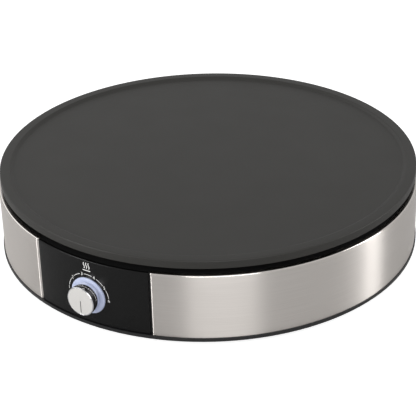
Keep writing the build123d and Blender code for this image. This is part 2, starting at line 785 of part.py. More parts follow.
connector_length = 8.2
connector_crimp = 1.5  # the closed end that grips the wire
connector_size = (8.0, 3.0)
blade_slot = (blade_width + 0.2, blade_thickness + 0.1)
connector_seats = [Plane(origin=(x, y, leg_end_z - 1), z_dir=(0, 0, -1)) for x, y in leg_points]
connector_seats += [
    Plane(
        origin=(x, -(body_back - 1), knob_z + thermostat_blade_z),
        x_dir=(0, 0, 1),
        z_dir=(0, 1, 0),
    )
    for x in (thermostat_blade_x, -thermostat_blade_x)
]
with BuildPart() as spade_connectors:
    for seat in connector_seats:
        with BuildSketch(seat):
            Rectangle(*connector_size)
            Rectangle(*blade_slot, mode=Mode.SUBTRACT)
        extrude(amount=connector_length)
        with BuildSketch(seat.offset(connector_length)):
            Rectangle(*connector_size)
        extrude(amount=connector_crimp)
save(spade_connectors, "spade_connectors")

# -------------------------------------------- terminal block under the deck
block_size = (44.0, 20.0, 14.0)
pole_x = (-14.0, 0.0, 14.0)
pole_screw_dy = 5.5
pole_screw_points = [(x, block_y + dy) for x in pole_x for dy in (-pole_screw_dy, pole_screw_dy)]
pole_screw_radius, pole_slot_depth, pole_screw_height = 2.0, 0.8, 2.8
block_recess = 4.0
block_screw_length = 12.0
block_bottom_z = deck_z - block_size[2]
block_lead_z = 47.0

with BuildPart() as terminal_block:
    with BuildSketch(Plane.XY.offset(block_bottom_z)):
        with Locations((0, block_y)):
            RectangleRounded(block_size[0], block_size[1], 1.5)
    extrude(amount=block_size[2])
    with BuildSketch(Plane.XY.offset(block_bottom_z)):
        with Locations(*pole_screw_points):
            Circle(pole_screw_radius + 0.2)
        with Locations(*block_screw_points):
            Circle(cover_screw_radius * 2 + 0.3)
    extrude(amount=block_recess, mode=Mode.SUBTRACT)
    with BuildSketch(Plane.XY.offset(block_bottom_z)):
        with Locations(*block_screw_points):
            Circle(cover_screw_radius + 0.2)
    extrude(amount=block_size[2], mode=Mode.SUBTRACT)
save(terminal_block, "terminal_block")

with BuildPart() as terminal_screws:
    with BuildSketch(Plane.XY.offset(block_bottom_z + block_recess - pole_screw_height)):
        with Locations(*pole_screw_points):
            Circle(pole_screw_radius)
    extrude(amount=pole_screw_height)
    with BuildSketch(Plane.XY.offset(block_bottom_z + block_recess - pole_screw_height)):
        with Locations(*pole_screw_points):
            Rectangle(3.2, 0.6)
    extrude(amount=pole_slot_depth, mode=Mode.SUBTRACT)
save(terminal_screws, "terminal_screws")

with BuildPart() as block_screws:
    head_z = block_bottom_z + block_recess
    with Locations(*[facing((x, y, head_z), (0, 0, -1)) for x, y in block_screw_points]):
        add(pan_screw(cover_screw_radius, block_screw_length))
save(block_screws, "block_screws")

# -------------------------------------------- leads, each along its clipped route
lead_radius = 1.4
block_front = block_y - block_size[1] / 2
blade_reach = -(body_back - 1) + connector_length + connector_crimp  # Y where a thermostat connector ends
blade_z = knob_z + thermostat_blade_z
connector_end_z = leg_end_z - 1 - connector_length - connector_crimp
low_z = connector_end_z - 8

with BuildPart() as live_lead:
    add(
        lead(
            [
                (pole_x[0], block_front, block_lead_z),
                (pole_x[0], block_front - 22, block_lead_z),
                (-72, 60, block_lead_z),
                (-72, -80, block_lead_z),
                (-34, -112, blade_z),
                (-thermostat_blade_x, -128, blade_z),
                (-thermostat_blade_x, blade_reach, blade_z),
            ],
            lead_radius,
            [16, 24, 24, 14, 10],
        )
    )
save(live_lead, "live_lead")

with BuildPart() as neutral_lead:
    add(
        lead(
            [
                (pole_x[2], block_front, block_lead_z),
                (pole_x[2], block_front - 22, block_lead_z),
                (70, 60, block_lead_z),
                (70, -20, 40),
                (neutral_leg.X, neutral_leg.Y + 6, low_z),
                (neutral_leg.X, neutral_leg.Y, low_z + 1),
                (neutral_leg.X, neutral_leg.Y, connector_end_z),
            ],
            lead_radius,
            [16, 24, 20, 3, 2.5],
        )
    )
save(neutral_lead, "neutral_lead")

with BuildPart() as fuse_feed_lead:
    add(
        lead(
            [
                (fuse_x[0], fuse_y, bulb_z),
                (fuse_lead_points[0][0], fuse_y, bulb_z),
                (fuse_lead_points[0][0], fuse_y, blade_z),
                (thermostat_blade_x, -126, blade_z),
                (thermostat_blade_x, blade_reach, blade_z),
            ],
            lead_radius,
            [6, 8, 6],
        )
    )
save(fuse_feed_lead, "fuse_feed_lead")

with BuildPart() as heater_lead:
    add(
        lead(
            [
                (fuse_x[1], fuse_y, bulb_z),
                (fuse_lead_points[1][0], fuse_y, bulb_z),
                (fuse_lead_points[1][0], fuse_y, 42),
                (62, -128, low_z),
                (live_leg.X, live_leg.Y, low_z),
                (live_leg.X, live_leg.Y, connector_end_z),
            ],
            lead_radius,
            [6, 10, 8, 4],
        )
    )
save(heater_lead, "heater_lead")

# -------------------------------------------- earth: a ring tag screwed to the plate
tag_radius, tag_thickness = 4.5, 0.8
tag_tail_width, tag_tail_length = 4.0, 9.0
tag_z = shield_bottom_z - tag_thickness
earth_screw_length = 8.0
with BuildPart() as earth_tag:
    with BuildSketch(Plane.XY.offset(tag_z)):
        with Locations(earth_point):
            Circle(tag_radius)
        with Locations((earth_point[0], earth_point[1] + tag_radius + 1)):
            Rectangle(tag_tail_width, tag_tail_length)
        with Locations(earth_point):
            Circle(clamp_screw_radius + 0.15, mode=Mode.SUBTRACT)
    extrude(amount=tag_thickness)
save(earth_tag, "earth_tag")

with BuildPart() as earth_screw:
    with Locations(facing((*earth_point, tag_z), (0, 0, -1))):
        add(pan_screw(clamp_screw_radius, earth_screw_length))
save(earth_screw, "earth_screw")

tag_end_y = earth_point[1] + tag_radius + 1 + tag_tail_length / 2
tag_lead_z = tag_z - lead_radius + tag_thickness
with BuildPart() as earth_lead:
    add(
        lead(
            [
                (0, tag_end_y, tag_lead_z),
                (0, earth_lead_point[1], tag_lead_z),
                (0, earth_lead_point[1], block_lead_z),
                (0, block_front, block_lead_z),
            ],
            lead_radius,
            [5, 8],
        )
    )
save(earth_lead, "earth_lead")

# -------------------------------------------- plate fixing: spacers, washers and screws
washer_radius = 6.0
washer_thickness = 1.0
plate_screw_length = 20.0

with BuildPart() as plate_spacers:
    with BuildSketch(Plane.XY.offset(deck_top_z)):
        with Locations(*plate_screw_points):
            Circle(washer_radius)
            Circle(plate_screw_radius + 0.3, mode=Mode.SUBTRACT)
    extrude(amount=shield_bottom_z - deck_top_z)
save(plate_spacers, "plate_spacers")

with BuildPart() as plate_washers:
    with BuildSketch(Plane.XY.offset(deck_z - washer_thickness)):
        with Locations(*plate_screw_points):
            Circle(washer_radius)
            Circle(plate_screw_radius + 0.2, mode=Mode.SUBTRACT)
    extrude(amount=washer_thickness)
save(plate_washers, "plate_washers")

with BuildPart() as plate_screws:
    head_z = deck_z - washer_thickness
    with Locations(*[facing((at.X, at.Y, head_z), (0, 0, -1)) for at in plate_screw_points]):
        add(pan_screw(plate_screw_radius, plate_screw_length))
save(plate_screws, "plate_screws")

# -------------------------------------------- cord gland in the back, and the clamp behind it
gland_flange = 10.5
gland_flange_thickness = 2.5
gland_front = 210.0
gland_back = 186.0
nut_across_flats = 20.0
nut_thickness = 4.0

with BuildPart() as cord_gland:
    with BuildSketch(gland_plane.offset(gland_back)):
        Circle(gland_neck)
    extrude(amount=body_radius + gap - gland_back)
    with BuildSketch(gland_plane.offset(body_radius + gap)):
        Circle(gland_flange)
    extrude(amount=gland_flange_thickness)
    with BuildSketch(gland_plane.offset(body_radius + gap + gland_flange_thickness)):
        RegularPolygon(gland_flange - 1.2, 8, major_radius=False)
    extrude(amount=gland_front - body_radius - gap - gland_flange_thickness)
    chamfer(cord_gland.faces().sort_by(Axis.Y)[-1].edges(), 1.0)
    with BuildSketch(gland_plane.offset(gland_back)):
        Circle(cord_bore_radius)
    extrude(amount=gland_front - gland_back, mode=Mode.SUBTRACT)
save(cord_gland, "cord_gland")

with BuildPart() as gland_nut:
    with BuildSketch(gland_plane.offset(wall_inner - 0.4 - nut_thickness)):
        RegularPolygon(nut_across_flats / 2, 6, major_radius=False)
        Circle(gland_neck + 0.05, mode=Mode.SUBTRACT)
    extrude(amount=nut_thickness)
save(gland_nut, "gland_nut")

clamp_bar_thickness = 5.0
clamp_bar_top_z = anchor_seat_z - 1.6
anchor_screw_length = 16.0

with BuildPart() as cord_clamp:
    with BuildSketch(Plane.XY.offset(clamp_bar_top_z)):
        with Locations((0, anchor_y)):
            Rectangle(anchor_width, anchor_length)
    extrude(amount=-clamp_bar_thickness)
    fillet(cord_clamp.edges().filter_by(Axis.Z), 1.5)
    with BuildSketch(gland_plane.offset(anchor_y - anchor_length)):
        Circle(cord_bore_radius)
    extrude(amount=2 * anchor_length, mode=Mode.SUBTRACT)
    with BuildSketch(Plane.XY.offset(clamp_bar_top_z)):
        with Locations(*anchor_screw_points):
            Circle(cover_screw_radius + 0.2)
    extrude(amount=-clamp_bar_thickness, mode=Mode.SUBTRACT)
save(cord_clamp, "cord_clamp")

with BuildPart() as cord_clamp_screws:
    head_z = clamp_bar_top_z - clamp_bar_thickness
    with Locations(*[facing((x, y, head_z), (0, 0, -1)) for x, y in anchor_screw_points]):
        add(pan_screw(cover_screw_radius, anchor_screw_length))
save(cord_clamp_screws, "cord_clamp_screws")

# -------------------------------------------- bottom cover with vents and screw bosses
cover_boss_radius = 5.6
screw_well = 3.6
screw_seat_z = foot_height + 3.4
foot_circle = 165.0
foot_angles = (45, 135, 225, 315)
foot_stem = 3.5
cover_screw_length = 19.0
lip_bevel = 1.2
fence_outer = wall_inner - 0.4
fence_thickness = 2.0
fence_top_z = 11.5
vent_circles = ((128.0, 36), (104.0, 28))
vent_length, vent_width = 16.0, 3.5
stiffener_radius, stiffener_width, stiffener_height = 144.0, 2.0, 0.8
label_length, label_width, label_y, label_depth = 48.0, 30.0, 30.0, 0.5

with BuildPart() as bottom_cover:
    with BuildSketch(Plane.XZ):
        with BuildLine():
            Polyline(
                (0, foot_height),
                (lip_radius - lip_bevel, foot_height),
                (lip_radius, foot_height + lip_bevel),
                (lip_radius, lip_top_z),
                (fence_outer, lip_top_z),
                (fence_outer, fence_top_z),
                (fence_outer - fence_thickness, fence_top_z),
                (fence_outer - fence_thickness, foot_height + cover_thickness),
                (0, foot_height + cover_thickness),
                close=True,
            )
        make_face()
    revolve(axis=Axis.Z)
    with BuildSketch(Plane.XY.offset(foot_height + cover_thickness)):
        with Locations(*cover_screw_points):
            Circle(cover_boss_radius)
    extrude(amount=post_bottom_z - gap - foot_height - cover_thickness)
    with BuildSketch(Plane.XY.offset(foot_height)):
        with Locations(*cover_screw_points):
            Circle(screw_well)
    extrude(amount=screw_seat_z - foot_height, mode=Mode.SUBTRACT)
    with BuildSketch(Plane.XY.offset(foot_height)):
        with Locations(*cover_screw_points):
            Circle(cover_screw_radius + 0.3)
        with Locations(*[polar(foot_circle, a) for a in foot_angles]):
            Circle(foot_stem + 0.1)
        for circle, count in vent_circles:
            with PolarLocations(circle, count):
                SlotOverall(vent_length, vent_width)
    extrude(amount=post_bottom_z, mode=Mode.SUBTRACT)
    # under the cover: a raised stiffening ring and a shallow recess for the rating label
    with BuildSketch(Plane.XY.offset(foot_height)):
        Circle(stiffener_radius)
        Circle(stiffener_radius - stiffener_width, mode=Mode.SUBTRACT)
    extrude(amount=-stiffener_height)
    with BuildSketch(Plane.XY.offset(foot_height)):
        with Locations((0, label_y)):
            RectangleRounded(label_length, label_width, 2.0)
    extrude(amount=label_depth, mode=Mode.SUBTRACT)
save(bottom_cover, "bottom_cover")

with BuildPart() as cover_screws:
    with Locations(*[facing((at.X, at.Y, screw_seat_z), (0, 0, -1)) for at in cover_screw_points]):
        add(pan_screw(cover_screw_radius, cover_screw_length))
save(cover_screws, "cover_screws")

# -------------------------------------------- rubber feet, pushed through the cover
foot_radius = 11.0
foot_names = ("foot_rear_right", "foot_rear_left", "foot_front_left", "foot_front_right")
for foot_name, foot_angle in zip(foot_names, foot_angles):
    with BuildPart() as foot:
        with BuildSketch():
            with Locations(polar(foot_circle, foot_angle)):
                Circle(foot_radius)
        extrude(amount=foot_height)
        chamfer(foot.faces().sort_by(Axis.Z)[0].edges(), 0.8)
        with BuildSketch(Plane.XY.offset(foot_height)):
            with Locations(polar(foot_circle, foot_angle)):
                Circle(foot_stem)
        extrude(amount=cover_thickness + gap)
        with BuildSketch(Plane.XY.offset(foot_height + cover_thickness + gap)):
            with Locations(polar(foot_circle, foot_angle)):
                Circle(foot_stem + 1.5)
        extrude(amount=3.0, taper=25)
    save(foot, foot_name)

# -------------------------------------------- lamp lead along the drum's left side
lamp_lead_radius = 0.8
lamp_lead_z = block_lead_z - 4.5

with BuildPart() as lamp_lead:
    add(
        lead(
            [
                (-15, -board_back + gap, 26),
                (-15, -board_back + 4, 26),
                (-34, -board_back + 4, 24),
                (-42, -170, 17),
                (-62, -140, 16),
                (-62, 60, 16),
                (-40, 104, 30),
                (pole_x[0], 118, lamp_lead_z),
                (pole_x[0], block_front, lamp_lead_z),
            ],
            lamp_lead_radius,
            [2, 6, 12, 16, 24, 20, 5],
        )
    )
save(lamp_lead, "lamp_lead")
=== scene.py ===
"""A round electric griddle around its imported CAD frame. Metres, +Z up, the control knob faces -Y."""

from math import cos, pi, radians, sin, tau

import bmesh
import bpy
import numpy as np
from mathutils import Matrix, Vector


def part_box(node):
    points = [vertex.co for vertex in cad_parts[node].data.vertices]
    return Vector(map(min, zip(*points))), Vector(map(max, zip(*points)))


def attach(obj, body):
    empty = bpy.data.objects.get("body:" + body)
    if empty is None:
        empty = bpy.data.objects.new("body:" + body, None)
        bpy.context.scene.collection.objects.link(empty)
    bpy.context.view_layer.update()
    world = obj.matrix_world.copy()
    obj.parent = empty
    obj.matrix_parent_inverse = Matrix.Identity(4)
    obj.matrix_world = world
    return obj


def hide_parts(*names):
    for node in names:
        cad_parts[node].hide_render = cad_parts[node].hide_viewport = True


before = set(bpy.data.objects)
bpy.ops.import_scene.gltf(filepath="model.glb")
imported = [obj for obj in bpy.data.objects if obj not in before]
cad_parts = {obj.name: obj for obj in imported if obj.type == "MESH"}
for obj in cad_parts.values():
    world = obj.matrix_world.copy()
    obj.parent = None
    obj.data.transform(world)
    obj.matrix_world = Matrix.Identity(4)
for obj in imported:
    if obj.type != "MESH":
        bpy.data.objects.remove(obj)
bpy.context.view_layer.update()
mm = 0.001

# ---------------------------------------------------------------- stage
# A pale table top, a white room and large soft lamps, as in a small product studio. The camera stands to the
# right of the knob and looks down on the plate.


def linear(code, alpha=1.0):
    """The linear colour of an sRGB hex code such as "c8c8c8"."""
    srgb = np.array([int(code[i : i + 2], 16) for i in (0, 2, 4)]) / 255
    low, high = srgb / 12.92, ((srgb + 0.055) / 1.055) ** 2.4
    return (*np.where(srgb <= 0.04045, low, high).tolist(), alpha)


def add_node(owner, kind, inputs=None, **settings):
    """Adds one shader node.

    settings are its properties, and inputs are its sockets' values or the sockets that they come from.
    """
    made = owner.node_tree.nodes.new(kind)
    for key, value in settings.items():
        setattr(made, key, value)
    for key, value in (inputs or {}).items():
        if isinstance(value, bpy.types.NodeSocket):
            owner.node_tree.links.new(value, made.inputs[key])
        else:
            made.inputs[key].default_value = value
    return made


def new_material(name):
    """An empty material and its output node."""
    made = bpy.data.materials.new(name)
    made.use_nodes = True
    made.node_tree.nodes.clear()
    return made, add_node(made, "ShaderNodeOutputMaterial")


camera_azimuth, camera_elevation, camera_distance = radians(32.2), radians(28.07), 1.357
camera_tilt, camera_pan, camera_roll = radians(0.675), radians(0.025), radians(-1.371)
aim = Vector((0, 0, 0.044))


def from_aim(azimuth, elevation, distance):
    """A point seen from the aim at an azimuth, 0 in front of the knob, and an elevation, both in radians."""
    flat = cos(elevation) * distance
    return aim + Vector((sin(azimuth) * flat, -cos(azimuth) * flat, sin(elevation) * distance))


camera = bpy.data.objects.new("camera", bpy.data.cameras.new("camera"))
bpy.context.scene.collection.objects.link(camera)
bpy.context.scene.camera = camera
camera.data.lens, camera.data.sensor_width = 119.7, 36.0
camera.data.clip_start, camera.data.clip_end = 0.1, 50
camera_place = from_aim(camera_azimuth, camera_elevation, camera_distance)
camera.matrix_world = (
    Matrix.Translation(camera_place)
    @ (aim - camera_place).to_track_quat("-Z", "Y").to_matrix().to_4x4()
    @ Matrix.Rotation(camera_roll, 4, "Z")
    @ Matrix.Rotation(-camera_tilt, 4, "X")
    @ Matrix.Rotation(camera_pan, 4, "Y")
)
bpy.context.scene.view_settings.view_transform = "Standard"

# the room shows white behind the object and lights it more softly
room_white, room_light = 1.0, 0.62
room = bpy.data.worlds.new("studio")
bpy.context.scene.world = room
room.use_nodes = True
shown = add_node(room, "ShaderNodeLightPath").outputs["Is Camera Ray"]
room_strength = add_node(room, "ShaderNodeMix", {"Factor": shown, "A": room_light, "B": room_white})
backdrop = room.node_tree.nodes["Background"]
backdrop.inputs["Color"].default_value = (1, 1, 1, 1)
room.node_tree.links.new(room_strength.outputs["Result"], backdrop.inputs["Strength"])

table_size = 30.0
table_mesh = bpy.data.meshes.new("table")
table_corners = np.array([(-1, -1, 0), (1, -1, 0), (1, 1, 0), (-1, 1, 0)]) * table_size / 2
table_mesh.from_pydata(table_corners.tolist(), [], [(0, 1, 2, 3)])
table = bpy.data.objects.new("table", table_mesh)
bpy.context.scene.collection.objects.link(table)
white_table, output = new_material("white_table")
shown = add_node(white_table, "ShaderNodeLightPath").outputs["Is Camera Ray"]
matte_grey = add_node(white_table, "ShaderNodeBsdfDiffuse", {"Color": linear("c4c4c4")})
matte_white = add_node(
    white_table,
    "ShaderNodeBsdfPrincipled",
    {
        "Base Color": linear("c8c8c8"),
        "Roughness": 0.9,
        "Specular IOR Level": 0.0,
        "Emission Color": (1, 1, 1, 1),
        "Emission Strength": 0.8,
    },
)
surface = add_node(
    white_table, "ShaderNodeMixShader", {0: shown, 1: matte_grey.outputs[0], 2: matte_white.outputs[0]}
)
white_table.node_tree.links.new(surface.outputs[0], output.inputs[0])
table.data.materials.append(white_table)


def soft_lamp(name, azimuth, elevation, distance, size, brightness):
    """A rectangular lamp (width, height) that faces the aim, with its azimuth counted from the camera's.

    Its power is its brightness times its area times pi.
    """
    lamp = bpy.data.lights.new(name, "AREA")
    lamp.shape, lamp.size, lamp.size_y, lamp.energy = "RECTANGLE", *size, brightness * size[0] * size[1] * pi
    holder = bpy.data.objects.new(name, lamp)
    bpy.context.scene.collection.objects.link(holder)
    holder.location = from_aim(camera_azimuth + radians(azimuth), radians(elevation), distance)
    holder.rotation_euler = (aim - holder.location).to_track_quat("-Z", "Y").to_euler()


soft_lamp("lamp_front", 6, 28, 2.2, (1.3, 1.3), 2.7)
soft_lamp("lamp_right", 86.5, 18, 1.8, (0.36, 1.6), 5.2)
soft_lamp("lamp_left", -125, 30, 1.8, (1.4, 1.2), 0.7)
soft_lamp("lamp_knob", -64, 10, 1.6, (0.5, 1.0), 8.0)

# ---------------------------------------------------------------- bottom cover, its screws and the feet
# The cover is a thick moulding in black polypropylene with vent slots, held by eight screws in wells. Four
# rubber feet are pushed through it from below. The cover's edge shows as a thin dark lip under the band.


def moulded(name, colour, dark_colour, roughness, grain, depth, mottle=14 * mm, sheen=0.0, index=1.49):
    """A moulded plastic or rubber: a fine eroded grain, and faint clouds in its colour.

    The grain is a bump that also varies the gloss. grain is its size, depth its height and mottle the size
    of the clouds, all in metres. index is the refractive index.
    """
    made, output = new_material(name)
    place = add_node(made, "ShaderNodeTexCoord").outputs["Object"]
    clouds = add_node(made, "ShaderNodeTexNoise", {"Vector": place, "Scale": 1 / mottle, "Detail": 3.0})
    grains = add_node(made, "ShaderNodeTexNoise", {"Vector": place, "Scale": 1 / grain, "Detail": 2.0})
    tint = add_node(
        made,
        "ShaderNodeMix",
        {"Factor": clouds.outputs["Fac"], "A": linear(dark_colour), "B": linear(colour)},
        data_type="RGBA",
    )
    gloss = add_node(
        made,
        "ShaderNodeMapRange",
        {"Value": grains.outputs["Fac"], "To Min": roughness - 0.05, "To Max": roughness + 0.05},
    )
    bump = add_node(
        made, "ShaderNodeBump", {"Height": grains.outputs["Fac"], "Distance": depth, "Strength": 0.6}
    )
    surface = add_node(
        made,
        "ShaderNodeBsdfPrincipled",
        {
            "Base Color": tint.outputs["Result"],
            "Roughness": gloss.outputs["Result"],
            "Normal": bump.outputs["Normal"],
            "Sheen Weight": sheen,
            "IOR": index,
        },
    )
    made.node_tree.links.new(surface.outputs[0], output.inputs[0])
    return made


def finish_node(name, material):
    """Gives a CAD node that stays its material."""
    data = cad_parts[name].data
    data.materials.clear()
    data.materials.append(material)


# polypropylene, moulded with a fine erosion grain: nearly black with a soft, wide highlight
cover_plastic = moulded("black_polypropylene", "1d1d1e", "141415", 0.38, 0.5 * mm, 0.02 * mm)
finish_node("bottom_cover", cover_plastic)


def metal(name, colour, dark_colour, roughness, streak, bump_height=0.01 * mm, patch=9 * mm):
    """Bare or plated metal: streaks left by rolling, drawing or turning, and faint patches of tone.

    The streaks are a bump that also varies the gloss. streak is their size along X, Y and Z, and patch is
    the size of the patches, in metres.
    """
    made, output = new_material(name)
    place = add_node(made, "ShaderNodeTexCoord").outputs["Object"]
    stretched = add_node(
        made, "ShaderNodeMapping", {"Vector": place, "Scale": [1 / length for length in streak]}
    )
    streaks = add_node(
        made, "ShaderNodeTexNoise", {"Vector": stretched.outputs[0], "Scale": 1.0, "Detail": 3.0}
    )
    patches = add_node(made, "ShaderNodeTexNoise", {"Vector": place, "Scale": 1 / patch, "Detail": 2.0})
    tint = add_node(
        made,
        "ShaderNodeMix",
        {"Factor": patches.outputs["Fac"], "A": linear(dark_colour), "B": linear(colour)},
        data_type="RGBA",
    )
    gloss = add_node(
        made,
        "ShaderNodeMapRange",
        {"Value": streaks.outputs["Fac"], "To Min": roughness * 0.75, "To Max": roughness * 1.25},
    )
    bump = add_node(
        made, "ShaderNodeBump", {"Height": streaks.outputs["Fac"], "Distance": bump_height, "Strength": 0.5}
    )
    surface = add_node(
        made,
        "ShaderNodeBsdfPrincipled",
        {
            "Base Color": tint.outputs["Result"],
            "Roughness": gloss.outputs["Result"],
            "Normal": bump.outputs["Normal"],
            "Metallic": 1.0,
        },
    )
    made.node_tree.links.new(surface.outputs[0], output.inputs[0])
    return made


# steel screws with blue-white zinc plating: cool, slightly cloudy, satin
zinc_plating = metal("zinc_plated_steel", "c9ccd0", "a3a7ad", 0.3, (0.4 * mm,) * 3, patch=3 * mm)
for screw_node in (
    "block_screws",
    "board_screws",
    "bracket_screws",
    "clamp_screws",
    "cord_clamp_screws",
    "cover_screws",
    "earth_screw",
    "panel_screws",
    "plate_screws",
    "thermostat_screws",
    "panel_washers",
    "plate_washers",
    "bulb_clamp",
    "fuse_clamp",
    "thermostat_bracket",
    "thermostat_frame",
):
    finish_node(screw_node, zinc_plating)


def rounded(corners, steps=6):
    """An outline in metres through corners (x, y, radius) in mm, each radius above 0 a tangent arc.

    An arc's centre lies on the corner's bisector, radius / sin(half the corner) away, and its points turn
    evenly from one tangent point to the other. The first and last corners are kept as they are.
    """
    outline = []
    for index, (x, y, radius) in enumerate(corners):
        here = np.array((x, y))
        if radius == 0 or index in (0, len(corners) - 1):
            outline.append(here[None])
            continue
        to_last, to_next = (np.array(corners[index + step][:2]) - here for step in (-1, 1))
        to_last, to_next = to_last / np.linalg.norm(to_last), to_next / np.linalg.norm(to_next)
        corner = np.arccos(np.clip(to_last @ to_next, -1, 1))
        bisector = (to_last + to_next) / np.linalg.norm(to_last + to_next)
        centre = here + bisector * radius / sin(corner / 2)
        start = here + to_last * radius / np.tan(corner / 2) - centre
        end = here + to_next * radius / np.tan(corner / 2) - centre
        whole = pi - corner
        turn = whole * np.linspace(0, 1, steps + 1)[:, None]
        outline.append(centre + (np.sin(whole - turn) * start + np.sin(turn) * end) / sin(whole))
    return np.vstack(outline) * mm


def grid_piece(name, points, close_rows=False, close_columns=False, crease=35, uv=None):
    """A smooth-shaded piece from points[row, column, xyz], one quad for each cell of the grid.

    The outside is where a step along the rows, crossed with a step along the columns, points. A closed
    direction joins its last line to its first, points in the same place are merged, and edges sharper than
    crease degrees stay sharp. uv[row, column] fills a UV map.
    """
    rows, columns = points.shape[:2]
    index = np.arange(rows * columns).reshape(rows, columns)
    if close_rows:
        index = np.vstack([index, index[:1]])
    if close_columns:
        index = np.hstack([index, index[:, :1]])
    quads = np.stack([index[:-1, :-1], index[1:, :-1], index[1:, 1:], index[:-1, 1:]], -1).reshape(-1, 4)
    mesh = bpy.data.meshes.new(name)
    mesh.from_pydata(points.reshape(-1, 3).tolist(), [], quads.tolist())
    if uv is not None:
        corner = np.zeros(len(mesh.loops), np.int32)
        mesh.loops.foreach_get("vertex_index", corner)
        mesh.uv_layers.new(name="along").data.foreach_set("uv", uv.reshape(-1, 2)[corner].ravel())
    shape = bmesh.new()
    shape.from_mesh(mesh)
    bmesh.ops.remove_doubles(shape, verts=shape.verts, dist=1e-7)
    shape.to_mesh(mesh)
    shape.free()
    mesh.polygons.foreach_set("use_smooth", [True] * len(mesh.polygons))
    mesh.set_sharp_from_angle(angle=radians(crease))
    piece = bpy.data.objects.new(name, mesh)
    bpy.context.scene.collection.objects.link(piece)
    return piece


def turned(name, profile, centre=(0, 0, 0), axis="Z", segments=96, crease=35):
    """A piece turned on a lathe: a profile of (radius, height) points swept once round an axis.

    A point at angle a is centre + radius (cos a, sin a) across the axis + height along it. A profile that
    runs out over the top, down the side and back in under the bottom has its outside outwards. Axis "Z" is
    up, and axis "dial" points out of the control panel.
    """
    angle = np.linspace(0, tau, segments, endpoint=False)
    across, along = (
        (((1, 0, 0), (0, 1, 0)), (0, 0, 1)) if axis == "Z" else (((1, 0, 0), (0, 0, 1)), (0, -1, 0))
    )
    spokes = np.outer(np.cos(angle), across[0]) + np.outer(np.sin(angle), across[1])
    points = (
        np.array(centre)
        + profile[:, 0, None, None] * spokes[None]
        + profile[:, 1, None, None] * np.array(along, float)
    )
    return grid_piece(name, points, close_columns=True, crease=crease)


def dress(piece, body, material, slot, *nodes):
    """Gives a new piece its body and its material, and hides the CAD nodes that it stands for. slot is not
    used.
    """
    piece.data.materials.append(material)
    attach(piece, body)
    if nodes:
        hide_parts(*nodes)
    return piece


# natural rubber, moulded: black that scatters light and never shines
foot_rubber = moulded("black_rubber", "262626", "1a1a1a", 0.75, 0.8 * mm, 0.03 * mm, sheen=0.15)
sole_height, cover_top, stem_radius = 4.0, 6.5, 3.5
head_top, groove_radii, groove_depth = 9.4, (7.7, 4.2), 0.7
for side in ("front_left", "front_right", "rear_left", "rear_right"):
    low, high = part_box("foot_" + side)
    radius = (high.x - low.x) / 2 / mm
    # sole, waist through the cover's hole and a barbed head above it
    foot_corners = [
        (0, head_top, 0),
        (2.6, head_top, 0.5),
        (stem_radius + 1.3, cover_top + 0.1, 0.4),
        (stem_radius, cover_top, 0),
        (stem_radius, sole_height, 0),
        (radius, sole_height, 0.5),
        (radius - 0.8, 0, 0.9),
    ]
    # two moulded grooves in the sole, each a shallow V
    for groove in groove_radii:
        foot_corners += [(groove + 0.5, 0, 0.2), (groove, groove_depth, 0.2), (groove - 0.5, 0, 0.2)]
    foot_outline = rounded([*foot_corners, (0, 0, 0)])
    foot = turned("rubber_foot_" + side, foot_outline, ((low.x + high.x) / 2, (low.y + high.y) / 2, 0))
    dress(foot, "base", foot_rubber, "rubber_foot", "foot_" + side)

# ---------------------------------------------------------------- drum and cord clamp
# The body moulding in black heat-resistant nylon: wall, well, deck and posts in one. Only its ledge shows,
# in the gap under the plate. The cord's clamp bar is made of the same nylon.

# glass-filled nylon, moulded: black, a little greyer and duller than the cover
body_plastic = moulded("glass_filled_nylon", "1b1b1b", "121212", 0.5, 0.7 * mm, 0.03 * mm)
for node in ("drum", "cord_clamp"):
    finish_node(node, body_plastic)

# ---------------------------------------------------------------- steel band
# A strip of 0.8 mm stainless sheet bent round the drum, brushed along its length. Its top edge is rolled in
# over the drum's ledge, and its two ends are rolled in beside the control panel.
band_low, band_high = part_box("steel_band")
band_radius = band_high.x / mm
band_top, band_bottom = band_high.z / mm, band_low.z / mm
sheet = 0.8
top_roll, end_roll = 1.4, 2.8
flange_reach, hem_depth = 4.5, 2.2
panel_angle, end_gap = 33.7, 0.7  # degrees of the circumference
band_opening = radians(panel_angle + end_gap)
corner_power = 2.5
gland_low, gland_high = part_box("cord_gland")
gland_height = (gland_low.z + gland_high.z) / 2 / mm
gland_square = 9.9  # half the side of the square that the gland's flange hides

# height and inward offset of each row: the wall, the roll and the flange, with rows round the gland
roll_turn = np.linspace(0, pi / 2, 9)
gland_rows = gland_height + np.linspace(-gland_square, gland_square, 5)
wall_rows = np.concatenate([[band_bottom], gland_rows, [41.0, 50.0, 60.0]])
row_height = np.concatenate([wall_rows, band_top - top_roll * (1 - np.sin(roll_turn)), [band_top] * 2])
row_inward = np.concatenate([0 * wall_rows, top_roll * (1 - np.cos(roll_turn)), [3.0, flange_reach]])
# distance from the end and inward offset of each column at an end: the hem, the roll and the wall
end_along = np.concatenate([[0.0], end_roll * (1 - np.cos(roll_turn)), [3.6, 5.0]])
end_inward = np.concatenate([[hem_depth + 0.1], hem_depth * (1 - np.sin(roll_turn)), [0.0, 0.0]])
half_band = pi - band_opening / 2 - end_along[-1] / band_radius
middle = np.linspace(-half_band, half_band, 481)[1:-1]
end_angle = pi - band_opening / 2 - end_along / band_radius
column_angle = np.concatenate([-end_angle, middle, end_angle[::-1]])
column_inward = np.concatenate([end_inward, np.zeros(len(middle)), end_inward[::-1]])
# where a roll along the top meets a roll at an end, their offsets add as powers, which rounds the corner
inward = (row_inward[:, None] ** corner_power + column_inward[None] ** corner_power) ** (1 / corner_power)
band_r = (band_radius - inward) * mm
band_points = np.stack(
    [
        -np.sin(column_angle) * band_r,
        np.cos(column_angle) * band_r,
        np.broadcast_to(row_height[:, None] * mm, band_r.shape),
    ],
    -1,
)
